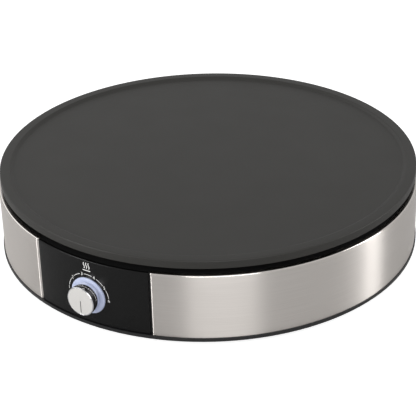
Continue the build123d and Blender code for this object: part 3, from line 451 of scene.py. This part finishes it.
# the UV map lays the band out flat in metres: along it and up it
row_length = np.concatenate([[0], np.cumsum(np.hypot(np.diff(row_height), np.diff(row_inward)))])
band_uv = np.stack(
    np.broadcast_arrays(column_angle[None] * band_radius * mm, row_length[:, None] * mm), -1
)
band = grid_piece("brushed_band", band_points[::-1], uv=band_uv[::-1])
# the cord gland's hole: the cells behind the gland's flange go, and their outline is drawn in to a circle
gland_hole, cleared = 7.8 * mm, (gland_square - 0.3) * mm


def by_the_gland(place, reach):
    """Whether a place is on the band's back, within reach of the gland's axis sideways and upwards."""
    return place.y > 0 and max(abs(place.x), abs(place.z - gland_height * mm)) < reach


shape = bmesh.new()
shape.from_mesh(band.data)
behind = [face for face in shape.faces if by_the_gland(face.calc_center_median(), cleared)]
bmesh.ops.delete(shape, geom=behind, context="FACES")
rim = [
    edge
    for edge in shape.edges
    if edge.is_boundary and all(by_the_gland(corner.co, cleared + 3 * mm) for corner in edge.verts)
]
drawn_in = bmesh.ops.extrude_edge_only(shape, edges=rim)["geom"]
along = shape.loops.layers.uv["along"]
for corner in (part for part in drawn_in if isinstance(part, bmesh.types.BMVert)):
    spoke = Vector((corner.co.x, corner.co.z - gland_height * mm)).normalized() * gland_hole
    corner.co = (spoke.x, ((band_radius * mm) ** 2 - spoke.x**2) ** 0.5, spoke.y + gland_height * mm)
for face in (part for part in drawn_in if isinstance(part, bmesh.types.BMFace)):
    face.smooth = True
    for corner in face.loops:
        corner[along].uv = (-corner.vert.co.x, corner.vert.co.z - band_bottom * mm)
bmesh.ops.recalc_face_normals(shape, faces=shape.faces)
# the sheet's cut edges stay sharp, so that the wall shades evenly up to them
for edge in shape.edges:
    edge.smooth = edge.smooth and not edge.is_boundary
shape.to_mesh(band.data)
shape.free()
wall = band.modifiers.new("sheet", "SOLIDIFY")
wall.thickness, wall.offset, wall.use_even_offset = sheet * mm, -1, True

# stainless steel, brushed with a belt along the strip: the long scratches spread highlights up and down
brushed_steel, output = new_material("brushed_stainless_steel")
strip_place = add_node(brushed_steel, "ShaderNodeUVMap", uv_map="along").outputs[0]
scratch_length, scratch_width = 60 * mm, 0.5 * mm  # real scratches are a fifth as wide, too fine to show
scratch_map = add_node(
    brushed_steel,
    "ShaderNodeMapping",
    {"Vector": strip_place, "Scale": (1 / scratch_length, 1 / scratch_width, 1)},
)
scratches = add_node(
    brushed_steel, "ShaderNodeTexNoise", {"Vector": scratch_map.outputs[0], "Scale": 1.0, "Detail": 5.0}
)
strip_tone = add_node(
    brushed_steel,
    "ShaderNodeMix",
    {"Factor": scratches.outputs["Fac"], "A": linear("d6d0cb"), "B": linear("e8e3de")},
    data_type="RGBA",
)
wall_gloss = add_node(
    brushed_steel,
    "ShaderNodeMapRange",
    {"Value": scratches.outputs["Fac"], "To Min": 0.32, "To Max": 0.42},
)
# rolling polishes the top edge, from where the wall ends
strip_height = add_node(brushed_steel, "ShaderNodeSeparateXYZ", {"Vector": strip_place}).outputs["Y"]
wall_end = (band_top - top_roll - band_bottom) * mm
polish = add_node(
    brushed_steel,
    "ShaderNodeMapRange",
    {"Value": strip_height, "From Min": wall_end, "From Max": wall_end + 0.8 * mm},
)
strip_gloss = add_node(
    brushed_steel,
    "ShaderNodeMix",
    {"Factor": polish.outputs["Result"], "A": wall_gloss.outputs["Result"], "B": 0.14},
)
strip_bump = add_node(
    brushed_steel,
    "ShaderNodeBump",
    {"Height": scratches.outputs["Fac"], "Distance": 0.01 * mm, "Strength": 0.5},
)
strip_tangent = add_node(brushed_steel, "ShaderNodeTangent", direction_type="UV_MAP", uv_map="along")
surface = add_node(
    brushed_steel,
    "ShaderNodeBsdfPrincipled",
    {
        "Base Color": strip_tone.outputs["Result"],
        "Roughness": strip_gloss.outputs["Result"],
        "Normal": strip_bump.outputs["Normal"],
        "Tangent": strip_tangent.outputs["Tangent"],
        "Metallic": 1.0,
        "Anisotropic": 1.0,
        "Anisotropic Rotation": 0.25,
    },
)
brushed_steel.node_tree.links.new(surface.outputs[0], output.inputs[0])
dress(band, "base", brushed_steel, "brushed_band", "steel_band")

# ---------------------------------------------------------------- control panel
# A black ABS moulding that closes the band's opening, curved like the band. A round hole takes the light
# ring, and four bosses on its back take screws from inside the drum. The scale is printed on it.
panel_low, panel_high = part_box("control_panel")
knob_low, knob_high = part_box("knob_cap")
dial_height = (knob_low.z + knob_high.z) / 2 / mm
panel_radius = band_radius - 0.2
panel_half = panel_radius * radians(panel_angle / 2)
panel_top, panel_bottom = panel_high.z / mm - dial_height, panel_low.z / mm - dial_height
ring_radius, ring_clearance = 17.6, 0.25
hole_radius = ring_radius + ring_clearance
panel_thickness = 2.25
panel_round, panel_corner = 0.8, 0.6


def on_panel(x, y, out=0.0):
    """Wraps a flat drawing on the panel: x mm to the right along the curve, y mm above the dial's centre.

    out is the height over the panel's face. The angle from the middle is x over the panel's radius.
    """
    turn, reach = x / panel_radius, panel_radius + out
    return np.stack([np.sin(turn) * reach, -np.cos(turn) * reach, (y + dial_height) + 0 * turn], -1) * mm


# the outline is a rounded rectangle, and each of its points looks at one point on the hole's edge
closed = rounded(
    [
        (panel_half, 0, 0),
        (panel_half, panel_top, panel_corner),
        (-panel_half, panel_top, panel_corner),
        (-panel_half, panel_bottom, panel_corner),
        (panel_half, panel_bottom, panel_corner),
        (panel_half, 0, 0),
    ]
) / mm
walk = np.concatenate([[0], np.cumsum(np.linalg.norm(np.diff(closed, axis=0), axis=1))])
even_walk = np.unique(np.concatenate([walk[:-1], np.linspace(0, walk[-1], 361)[:-1]]).round(6))
outline = np.stack([np.interp(even_walk, walk, closed[:, i]) for i in (0, 1)], -1)
hole_turn = np.arctan2(outline[:, 1], outline[:, 0])
hole = hole_radius * np.stack([np.cos(hole_turn), np.sin(hole_turn)], -1)

# rows run from the back of the hole over the face to the outline and return along the back
edge_turn = np.linspace(0, pi / 2, 6)
inset = outline * (1 - panel_round / np.abs(outline).max(1))[:, None]
share = np.linspace(0, 1, 14)[:, None, None]
face = hole * (1 - share) + inset * share
side = [inset + (outline - inset) * np.sin(a) for a in edge_turn[1:]]
side_out = [-panel_round * (1 - np.cos(a)) for a in edge_turn[1:]]
back = (hole * (1 - share) + outline * share)[::-1]
panel_rows = np.concatenate([hole[None], face, side, back])
back_out = np.full(len(back), -panel_thickness)
panel_out = np.concatenate([[-panel_thickness], 0 * share.ravel(), side_out, back_out])
panel_points = on_panel(panel_rows[..., 0], panel_rows[..., 1], panel_out[:, None])
panel_piece = grid_piece("dial_panel", panel_points, close_columns=True)
# ABS, moulded in a polished tool with a light satin: black with a broad soft reflection
panel_plastic = moulded(
    "satin_black_abs", "0a0a0a", "060606", 0.28, 0.4 * mm, 0.006 * mm, mottle=30 * mm, index=1.32
)
dress(panel_piece, "base", panel_plastic, "panel_moulding", "control_panel")

# the bosses stand on the panel's back, with a pilot hole for the screw
boss_places = [(x, z) for x in (-46.0, 46.0) for z in (18.0, 46.0)]
boss_radius, pilot_radius = 4.0, 1.55
boss_end, pilot_end, boss_root = 188.0, 193.0, 194.3  # distances from the drum's axis
boss_outline = rounded(
    [
        (pilot_radius, pilot_end, 0),
        (pilot_radius, boss_end + 0.3, 0),
        (pilot_radius + 0.3, boss_end, 0),
        (boss_radius - 0.2, boss_end, 0.3),
        (boss_radius, boss_root, 0),
    ]
)[::-1]
for number, (x, z) in enumerate(boss_places, 1):
    boss = turned(f"panel_boss_{number}", boss_outline, (x * mm, 0, z * mm), "dial", 48)
    dress(boss, "base", panel_plastic, "panel_moulding")

# ---------------------------------------------------------------- printed scale
# Pad-printed light grey ink, a few hundredths of a millimetre thick: figures 1 to 6, thin arcs between them,
# and three heat waves over a plate as a sign for "hot".
scale_radius, figure_height, stroke = 21.3, 3.1, 0.45
first_figure, figure_step, figure_room = -85.0, 35.0, 6.5  # degrees round the dial
wave_height, wave_swing, wave_spacing, wave_stroke = 6.0, 0.5, 2.5, 0.75
sign_middle, bar_half, bar_stroke = 29.3, 4.1, 0.8
ink_height = 0.03


def printed_strip(line, width):
    """A flat strip of ink along a line of (x, y) points in mm on the panel's face, as vertices and quads."""
    along = np.gradient(line, axis=0)
    across = np.stack([-along[:, 1], along[:, 0]], -1) / np.linalg.norm(along, axis=1)[:, None] * width / 2
    edges = np.stack([line + across, line - across], 1).reshape(-1, 2)
    start = np.arange(len(line) - 1) * 2
    return edges, np.stack([start, start + 1, start + 3, start + 2], -1).tolist()


def printed_figure(text, x, y):
    """A figure centred at x, y in mm on the panel's face, as vertices and polygons of its filled outline."""
    curve = bpy.data.curves.new("figure", "FONT")
    curve.body, curve.size = text, 1.0
    holder = bpy.data.objects.new("figure", curve)
    bpy.context.scene.collection.objects.link(holder)
    flat = bpy.data.meshes.new_from_object(holder.evaluated_get(bpy.context.evaluated_depsgraph_get()))
    points = np.zeros(len(flat.vertices) * 3)
    flat.vertices.foreach_get("co", points)
    points = points.reshape(-1, 3)[:, :2]
    faces = [list(polygon.vertices) for polygon in flat.polygons]
    bpy.data.objects.remove(holder)
    bpy.data.curves.remove(curve)
    low, high = points.min(0), points.max(0)
    points = (points - (low + high) / 2) * figure_height / (high[1] - low[1])
    return points + (x, y), faces


def scale_point(angle, radius=scale_radius):
    """A point on the dial's circle, with its angle in degrees clockwise from the top."""
    return np.stack([np.sin(np.radians(angle)) * radius, np.cos(np.radians(angle)) * radius], -1)


ink = []
for number in range(6):
    angle = first_figure + number * figure_step
    ink.append(printed_figure(str(number + 1), *scale_point(angle)))
    if number < 5:
        arc = np.linspace(angle + figure_room, angle + figure_step - figure_room, 24)
        ink.append(printed_strip(scale_point(arc), stroke))
wave = np.linspace(0, 1, 25)
wave_y = sign_middle + 0.8 + wave_height * (wave - 0.5)
for number in (-1, 0, 1):
    wave_x = number * wave_spacing + wave_swing * np.sin(wave * tau)
    ink.append(printed_strip(np.stack([wave_x, wave_y], -1), wave_stroke))
bar = np.stack([np.linspace(-bar_half, bar_half, 9), np.full(9, sign_middle - 4.0)], -1)
ink.append(printed_strip(bar, bar_stroke))
ink_points = np.concatenate([points for points, _ in ink])
first = np.cumsum([0] + [len(points) for points, _ in ink])
ink_faces = [[point + start for point in face] for start, (_, faces) in zip(first, ink) for face in faces]
ink_mesh = bpy.data.meshes.new("dial_print")
ink_mesh.from_pydata(on_panel(ink_points[:, 0], ink_points[:, 1], ink_height).tolist(), [], ink_faces)
dial_print = bpy.data.objects.new("dial_print", ink_mesh)
bpy.context.scene.collection.objects.link(dial_print)
film = dial_print.modifiers.new("film", "SOLIDIFY")
film.thickness, film.offset = ink_height * mm, -1
# pad-printing ink: light grey, slightly chalky, with uneven cover
print_ink = moulded("pad_printing_ink", "f6f6f4", "e2e2e0", 0.6, 0.3 * mm, 0.004 * mm, mottle=2 * mm)
dial_print.data.materials.append(print_ink)
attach(dial_print, "base")

# ---------------------------------------------------------------- light ring and lamp board
# A milky polycarbonate lens set in the panel round the knob, with lamps on a board behind it. The whole ring
# glows a faint blue: painted light, a glow of its own that stands in for the lamps, which give off none.
ring_low, ring_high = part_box("light_ring")
ring_front, ring_back = -ring_low.y / mm, -ring_high.y / mm
dial_centre = (0, 0, dial_height * mm)
ring_flange = (ring_high.x - ring_low.x) / 2 / mm
ring_bore, ring_wall, flange_thickness = 6.2, 2.2, 1.4
ring_outline = rounded(
    [
        (ring_bore, ring_front - ring_wall, 0),
        (ring_bore, ring_front, 0.3),
        (ring_radius, ring_front, 0.7),
        (ring_radius, ring_back + flange_thickness, 0),
        (ring_flange, ring_back + flange_thickness, 0.2),
        (ring_flange, ring_back, 0.2),
        (ring_radius - ring_wall, ring_back, 0.2),
        (ring_radius - ring_wall, ring_front - ring_wall, 0.2),
        (ring_bore, ring_front - ring_wall, 0),
    ]
)
ring_piece = turned("glowing_ring", ring_outline, dial_centre, "dial", 128)
# polycarbonate with a white diffuser: it scatters light, with a faint painted glow in place of the lamps
# behind
milky_lens, output = new_material("milky_polycarbonate")
lens_place = add_node(milky_lens, "ShaderNodeTexCoord").outputs["Object"]
lens_clouds = add_node(
    milky_lens, "ShaderNodeTexNoise", {"Vector": lens_place, "Scale": 1 / (7 * mm), "Detail": 2.0}
)
lens_tone = add_node(
    milky_lens,
    "ShaderNodeMix",
    {"Factor": lens_clouds.outputs["Fac"], "A": linear("aab4d2"), "B": linear("c6cde4")},
    data_type="RGBA",
)
# the emission is a painted glow that stands in for the light of the lamps behind the lens
surface = add_node(
    milky_lens,
    "ShaderNodeBsdfPrincipled",
    {
        "Base Color": lens_tone.outputs["Result"],
        "Emission Color": lens_tone.outputs["Result"],
        "Emission Strength": 0.06,
        "Roughness": 0.35,
        "IOR": 1.58,
        "Subsurface Weight": 0.3,
        "Subsurface Radius": (1, 1, 1),
        "Subsurface Scale": 1.5 * mm,
    },
)
milky_lens.node_tree.links.new(surface.outputs[0], output.inputs[0])
dress(ring_piece, "base", milky_lens, "light_ring", "light_ring")
# glass-epoxy board under green solder resist: glossy, with the weave just showing
circuit_board = moulded("green_circuit_board", "1f6b3a", "17552d", 0.25, 0.9 * mm, 0.01 * mm)
finish_node("lamp_board", circuit_board)
# clear resin lamp packages over a pale die
finish_node("lamps", moulded("lamp_resin", "f3f4fa", "dfe3f2", 0.12, 0.6 * mm, 0.002 * mm))

# ---------------------------------------------------------------- control knob
# A plated cap with a spun face, pressed on a black core. The core slides on the thermostat's shaft and a
# leaf spring in its bore takes up the play. A thin groove filled with black paint is the pointer.
knob_radius = (knob_high.x - knob_low.x) / 2 / mm
knob_front, knob_back = -knob_low.y / mm, -knob_high.y / mm
cap_lip, cap_wall, cap_face = 0.9, 1.4, 1.6
face_radius, cap_bore = knob_radius - cap_lip, knob_radius - cap_wall
face_front = knob_front - 0.12
cap_outline = rounded(
    [
        (face_radius + 0.02, knob_front - 0.9, 0),
        (face_radius + 0.02, knob_front, 0.12),
        (knob_radius - 0.35, knob_front, 0.12),
        (knob_radius, knob_front - 0.45, 0.25),
        (knob_radius, knob_back, 0.3),
        (cap_bore, knob_back, 0.2),
        (cap_bore, knob_front - cap_face, 0),
        (0, knob_front - cap_face, 0),
    ],
    5,
)
knob_cap = turned("plated_knob_cap", cap_outline, dial_centre, "dial", 128)
# bright chromium over moulded ABS: a mirror, softened a little by handling
bright_chrome = metal("bright_chromium", "e6e6e8", "dadadd", 0.05, (6 * mm,) * 3, 0.0002 * mm, 12 * mm)
dress(knob_cap, "knob", bright_chrome, "plated_knob", "knob_cap")

# the face is a disc drawn as chords: a column is a place along X, and a row is a share of the chord's half
# length, with more of both at the pointer, a groove whose depth falls off smoothly at its edges
pointer_half, pointer_length, pointer_depth = 0.36, 11.5, 0.4
beside_pointer = np.linspace(-1.6, 1.6, 49) * pointer_half / face_radius
column = np.unique(np.concatenate([np.cos(np.linspace(0, pi, 97)), beside_pointer]))
pointer_end = np.linspace(-1.0, 1.0, 9) * 0.6 / face_radius
row = np.unique(
    np.concatenate(
        [np.cos(np.linspace(0, pi, 65)), pointer_end, pointer_end - pointer_length / face_radius]
    )
)
chord_x = (column * face_radius)[:, None] + 0 * row[None]
chord_y = row[None] * np.sqrt(np.clip(face_radius**2 - chord_x**2, 0, None))
away = np.hypot(chord_x, chord_y - np.clip(chord_y, -pointer_length + pointer_half, 0))
groove = -pointer_depth * 0.5 * (1 - np.tanh((away - pointer_half) / 0.05))
face_points = np.stack([chord_x, -(face_front + groove), chord_y + dial_height], -1) * mm
knob_face = grid_piece("spun_knob_face", face_points, crease=60)
disc = knob_face.modifiers.new("disc", "SOLIDIFY")
disc.thickness, disc.offset = 0.8 * mm, -1
# aluminium, spun with abrasive and clear lacquered: fine rings about the dial's centre, a pale satin
spun_aluminium, output = new_material("spun_aluminium")
spun_place = add_node(spun_aluminium, "ShaderNodeTexCoord").outputs["Object"]
spun_offset = add_node(
    spun_aluminium, "ShaderNodeVectorMath", {0: spun_place, 1: dial_centre}, operation="SUBTRACT"
)
spun_flat = add_node(
    spun_aluminium, "ShaderNodeVectorMath", {0: spun_offset.outputs[0], 1: (1, 0, 1)}, operation="MULTIPLY"
)
spun_radius = add_node(
    spun_aluminium, "ShaderNodeVectorMath", {0: spun_flat.outputs[0]}, operation="LENGTH"
)
ring_width = 0.35 * mm
spun_rings = add_node(
    spun_aluminium,
    "ShaderNodeTexNoise",
    {"W": spun_radius.outputs["Value"], "Scale": 1 / ring_width, "Detail": 3.0},
    noise_dimensions="1D",
)
spun_gloss = add_node(
    spun_aluminium, "ShaderNodeMapRange", {"Value": spun_rings.outputs["Fac"], "To Min": 0.5, "To Max": 0.6}
)
spun_bump = add_node(
    spun_aluminium,
    "ShaderNodeBump",
    {"Height": spun_rings.outputs["Fac"], "Distance": 0.01 * mm, "Strength": 0.4},
)
spun_tone = add_node(
    spun_aluminium,
    "ShaderNodeMix",
    {"Factor": spun_rings.outputs["Fac"], "A": linear("e6e4e1"), "B": linear("f6f4f1")},
    data_type="RGBA",
)
surface = add_node(
    spun_aluminium,
    "ShaderNodeBsdfPrincipled",
    {
        "Base Color": spun_tone.outputs["Result"],
        "Roughness": spun_gloss.outputs["Result"],
        "Normal": spun_bump.outputs["Normal"],
        "Metallic": 1.0,
    },
)
spun_aluminium.node_tree.links.new(surface.outputs[0], output.inputs[0])
dress(knob_face, "knob", spun_aluminium, "plated_knob")
finish_node("knob_core", body_plastic)
# spring steel strip, hardened: blue-grey with a dull shine
spring_steel = metal("spring_steel", "8f959c", "6f747b", 0.3, (0.3 * mm, 4 * mm, 0.3 * mm))
finish_node("knob_clip", spring_steel)

# the pointer's paint fills the groove to just under the face
paint_depth, paint_half = 0.12, pointer_half - 0.04
paint_z, paint_x = np.meshgrid(
    dial_height + np.linspace(0, -pointer_length + 0.1, 25), [-paint_half, paint_half], indexing="ij"
)
paint_points = np.stack([paint_x, np.full(paint_x.shape, -(face_front - paint_depth)), paint_z], -1) * mm
pointer_paint = grid_piece("pointer_paint", paint_points)
layer = pointer_paint.modifiers.new("layer", "SOLIDIFY")
layer.thickness, layer.offset = 0.2 * mm, -1
# black lacquer wiped into the groove
pointer_lacquer = moulded("black_lacquer", "2a2a2b", "1c1c1d", 0.3, 0.3 * mm, 0.002 * mm, mottle=2 * mm)
dress(pointer_paint, "knob", pointer_lacquer, "plated_knob")

# ---------------------------------------------------------------- thermostat
# A capillary thermostat on a folded bracket behind the dial: a glazed steatite body with blades, a steel
# capsule, a copper capillary, and a copper bulb strapped under the plate. Its brass shaft carries the knob.

# steatite, pressed and fired with a thin glaze: warm white with tiny pits
steatite = moulded("glazed_steatite", "ece6d8", "dcd4c2", 0.3, 0.5 * mm, 0.02 * mm)
for node in ("thermostat_body", "element_beads", "terminal_block", "board_spacers"):
    finish_node(node, steatite)
# drawn and turned brass: yellow, with lathe lines
turned_brass = metal("turned_brass", "d9b45f", "b8923f", 0.25, (3 * mm, 0.3 * mm, 3 * mm))
for node in ("thermostat_shaft", "thermostat_blades", "element_blades", "terminal_screws", "earth_tag"):
    finish_node(node, turned_brass)
# copper tube, drawn and annealed: pink-brown with darker heat patches
annealed_copper = metal("annealed_copper", "c98263", "8f5540", 0.35, (4 * mm,) * 3, patch=6 * mm)
for node in ("capillary_tube", "thermostat_bulb"):
    finish_node(node, annealed_copper)
# stainless pressing, bright rolled
bright_steel = metal("bright_rolled_steel", "c6c6c4", "acacaa", 0.2, (6 * mm, 0.4 * mm, 6 * mm))
for node in ("diaphragm_capsule", "plate_spacers"):
    finish_node(node, bright_steel)
# silicone grommet: mid grey, soft and dull
finish_node("capillary_grommet", moulded("grey_silicone", "6b6b6b", "585858", 0.65, 0.8 * mm, 0.02 * mm))

# ---------------------------------------------------------------- heating element, shield and fuse
# A mineral-filled tube of heat-resisting steel lies in grooves under the plate and turns dull brown in use.
# A thin aluminised dish keeps its heat off the deck, and a fuse in a glass-fibre sleeve guards it.

# nickel steel tube after many hot hours: brown-grey oxide with paler bands
oxidised_tube = metal("oxidised_element_tube", "6e655c", "3f3833", 0.45, (5 * mm,) * 3, 0.02 * mm)
finish_node("heating_element", oxidised_tube)
# aluminised steel sheet: pale with a fine spangle
aluminised_sheet = metal("aluminised_sheet", "c9cbcd", "adb0b3", 0.32, (2 * mm,) * 3, patch=4 * mm)
finish_node("heat_shield", aluminised_sheet)
# glass-fibre sleeve: cream, with a braid that shows as a fine chequer
glass_sleeve, output = new_material("glass_fibre_sleeve")
braid_place = add_node(glass_sleeve, "ShaderNodeTexCoord").outputs["Object"]
braid_width = 0.8 * mm
braid = add_node(
    glass_sleeve,
    "ShaderNodeTexChecker",
    {
        "Vector": braid_place,
        "Scale": 1 / braid_width,
        "Color1": linear("e9e4d6"),
        "Color2": linear("cfc7b4"),
    },
)
braid_bump = add_node(
    glass_sleeve, "ShaderNodeBump", {"Height": braid.outputs["Fac"], "Distance": 0.08 * mm, "Strength": 0.5}
)
surface = add_node(
    glass_sleeve,
    "ShaderNodeBsdfPrincipled",
    {"Base Color": braid.outputs["Color"], "Roughness": 0.7, "Normal": braid_bump.outputs["Normal"]},
)
glass_sleeve.node_tree.links.new(surface.outputs[0], output.inputs[0])
finish_node("thermal_fuse", glass_sleeve)

# ---------------------------------------------------------------- leads
# Stranded wires in silicone insulation, clipped along the drum, with moulded sleeves over their blade
# connectors.
for node, colour, dark_colour in (
    ("live_lead", "6b3d22", "553019"),
    ("fuse_feed_lead", "6b3d22", "553019"),
    ("heater_lead", "6b3d22", "553019"),
    ("neutral_lead", "2b5ea8", "214b8a"),
    ("lamp_lead", "2b5ea8", "214b8a"),
    ("earth_lead", "6fae2f", "5b9424"),
    ("spade_connectors", "c43a2c", "a52f22"),
):
    # extruded silicone: saturated, waxy, with a soft sheen
    silicone = moulded("silicone_" + node, colour, dark_colour, 0.5, 0.6 * mm, 0.01 * mm, 5 * mm, 0.1)
    finish_node(node, silicone)

# ---------------------------------------------------------------- cord gland
# The cord leaves through a black nylon gland in the back, held by a hexagonal nut inside the drum.

# nylon, moulded: black with a slight oily shine
gland_nylon = moulded("black_nylon", "1a1a1b", "111112", 0.33, 0.4 * mm, 0.01 * mm)
for node in ("cord_gland", "gland_nut"):
    finish_node(node, gland_nylon)

# ---------------------------------------------------------------- griddle plate
# Die-cast aluminium, machined flat inside a raised rim and sprayed all over with a non-stick coating. A
# skirt under it hangs in the drum's well, and the heating element lies in ridges inside the skirt.
plate_low, plate_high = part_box("griddle_plate")
plate_radius = plate_high.x / mm
plate_top, skirt_bottom = plate_high.z / mm, plate_low.z / mm
rim_height, edge_height = 2.5, 7.7
floor_height, plate_bottom = plate_top - rim_height, plate_top - edge_height
rim_width, slope_width = 9.5, 3.0
skirt_outer, skirt_inner = 183.0, 180.0
plate_outline = rounded(
    [
        (0, floor_height, 0),
        (60, floor_height, 0),
        (120, floor_height, 0),
        (165, floor_height, 0),
        (plate_radius - rim_width - slope_width, floor_height, 3.0),
        (plate_radius - rim_width, plate_top, 1.6),
        (plate_radius, plate_top, 1.0),
        (plate_radius, plate_bottom, 0.6),
        (skirt_outer, plate_bottom, 1.2),
        (skirt_outer, skirt_bottom, 0.5),
        (skirt_inner, skirt_bottom, 0.5),
        (skirt_inner, plate_bottom, 1.2),
        (165, plate_bottom, 0),
        (0, plate_bottom, 0),
    ],
    8,
)
plate_piece = turned("coated_plate", plate_outline, segments=512, crease=60)

# non-stick coating, sprayed and baked: near-black with a warm cast, a fine stipple and a soft even sheen
coating, output = new_material("sprayed_nonstick_coating")
coat_place = add_node(coating, "ShaderNodeTexCoord").outputs["Object"]
stipple_size, cloud_size = 1.1 * mm, 45 * mm
stipple = add_node(
    coating, "ShaderNodeTexNoise", {"Vector": coat_place, "Scale": 1 / stipple_size, "Detail": 3.0}
)
coat_clouds = add_node(
    coating, "ShaderNodeTexNoise", {"Vector": coat_place, "Scale": 1 / cloud_size, "Detail": 2.0}
)
coat_tone = add_node(
    coating,
    "ShaderNodeMix",
    {"Factor": stipple.outputs["Fac"], "A": linear("252422"), "B": linear("2f2e2b")},
    data_type="RGBA",
)
coat_gloss = add_node(
    coating, "ShaderNodeMapRange", {"Value": coat_clouds.outputs["Fac"], "To Min": 0.42, "To Max": 0.5}
)
coat_bump = add_node(
    coating, "ShaderNodeBump", {"Height": stipple.outputs["Fac"], "Distance": 0.03 * mm, "Strength": 0.5}
)
surface = add_node(
    coating,
    "ShaderNodeBsdfPrincipled",
    {
        "Base Color": coat_tone.outputs["Result"],
        "Roughness": coat_gloss.outputs["Result"],
        "Normal": coat_bump.outputs["Normal"],
        "IOR": 1.42,
    },
)
coating.node_tree.links.new(surface.outputs[0], output.inputs[0])
dress(plate_piece, "base", coating, "nonstick_plate", "griddle_plate")
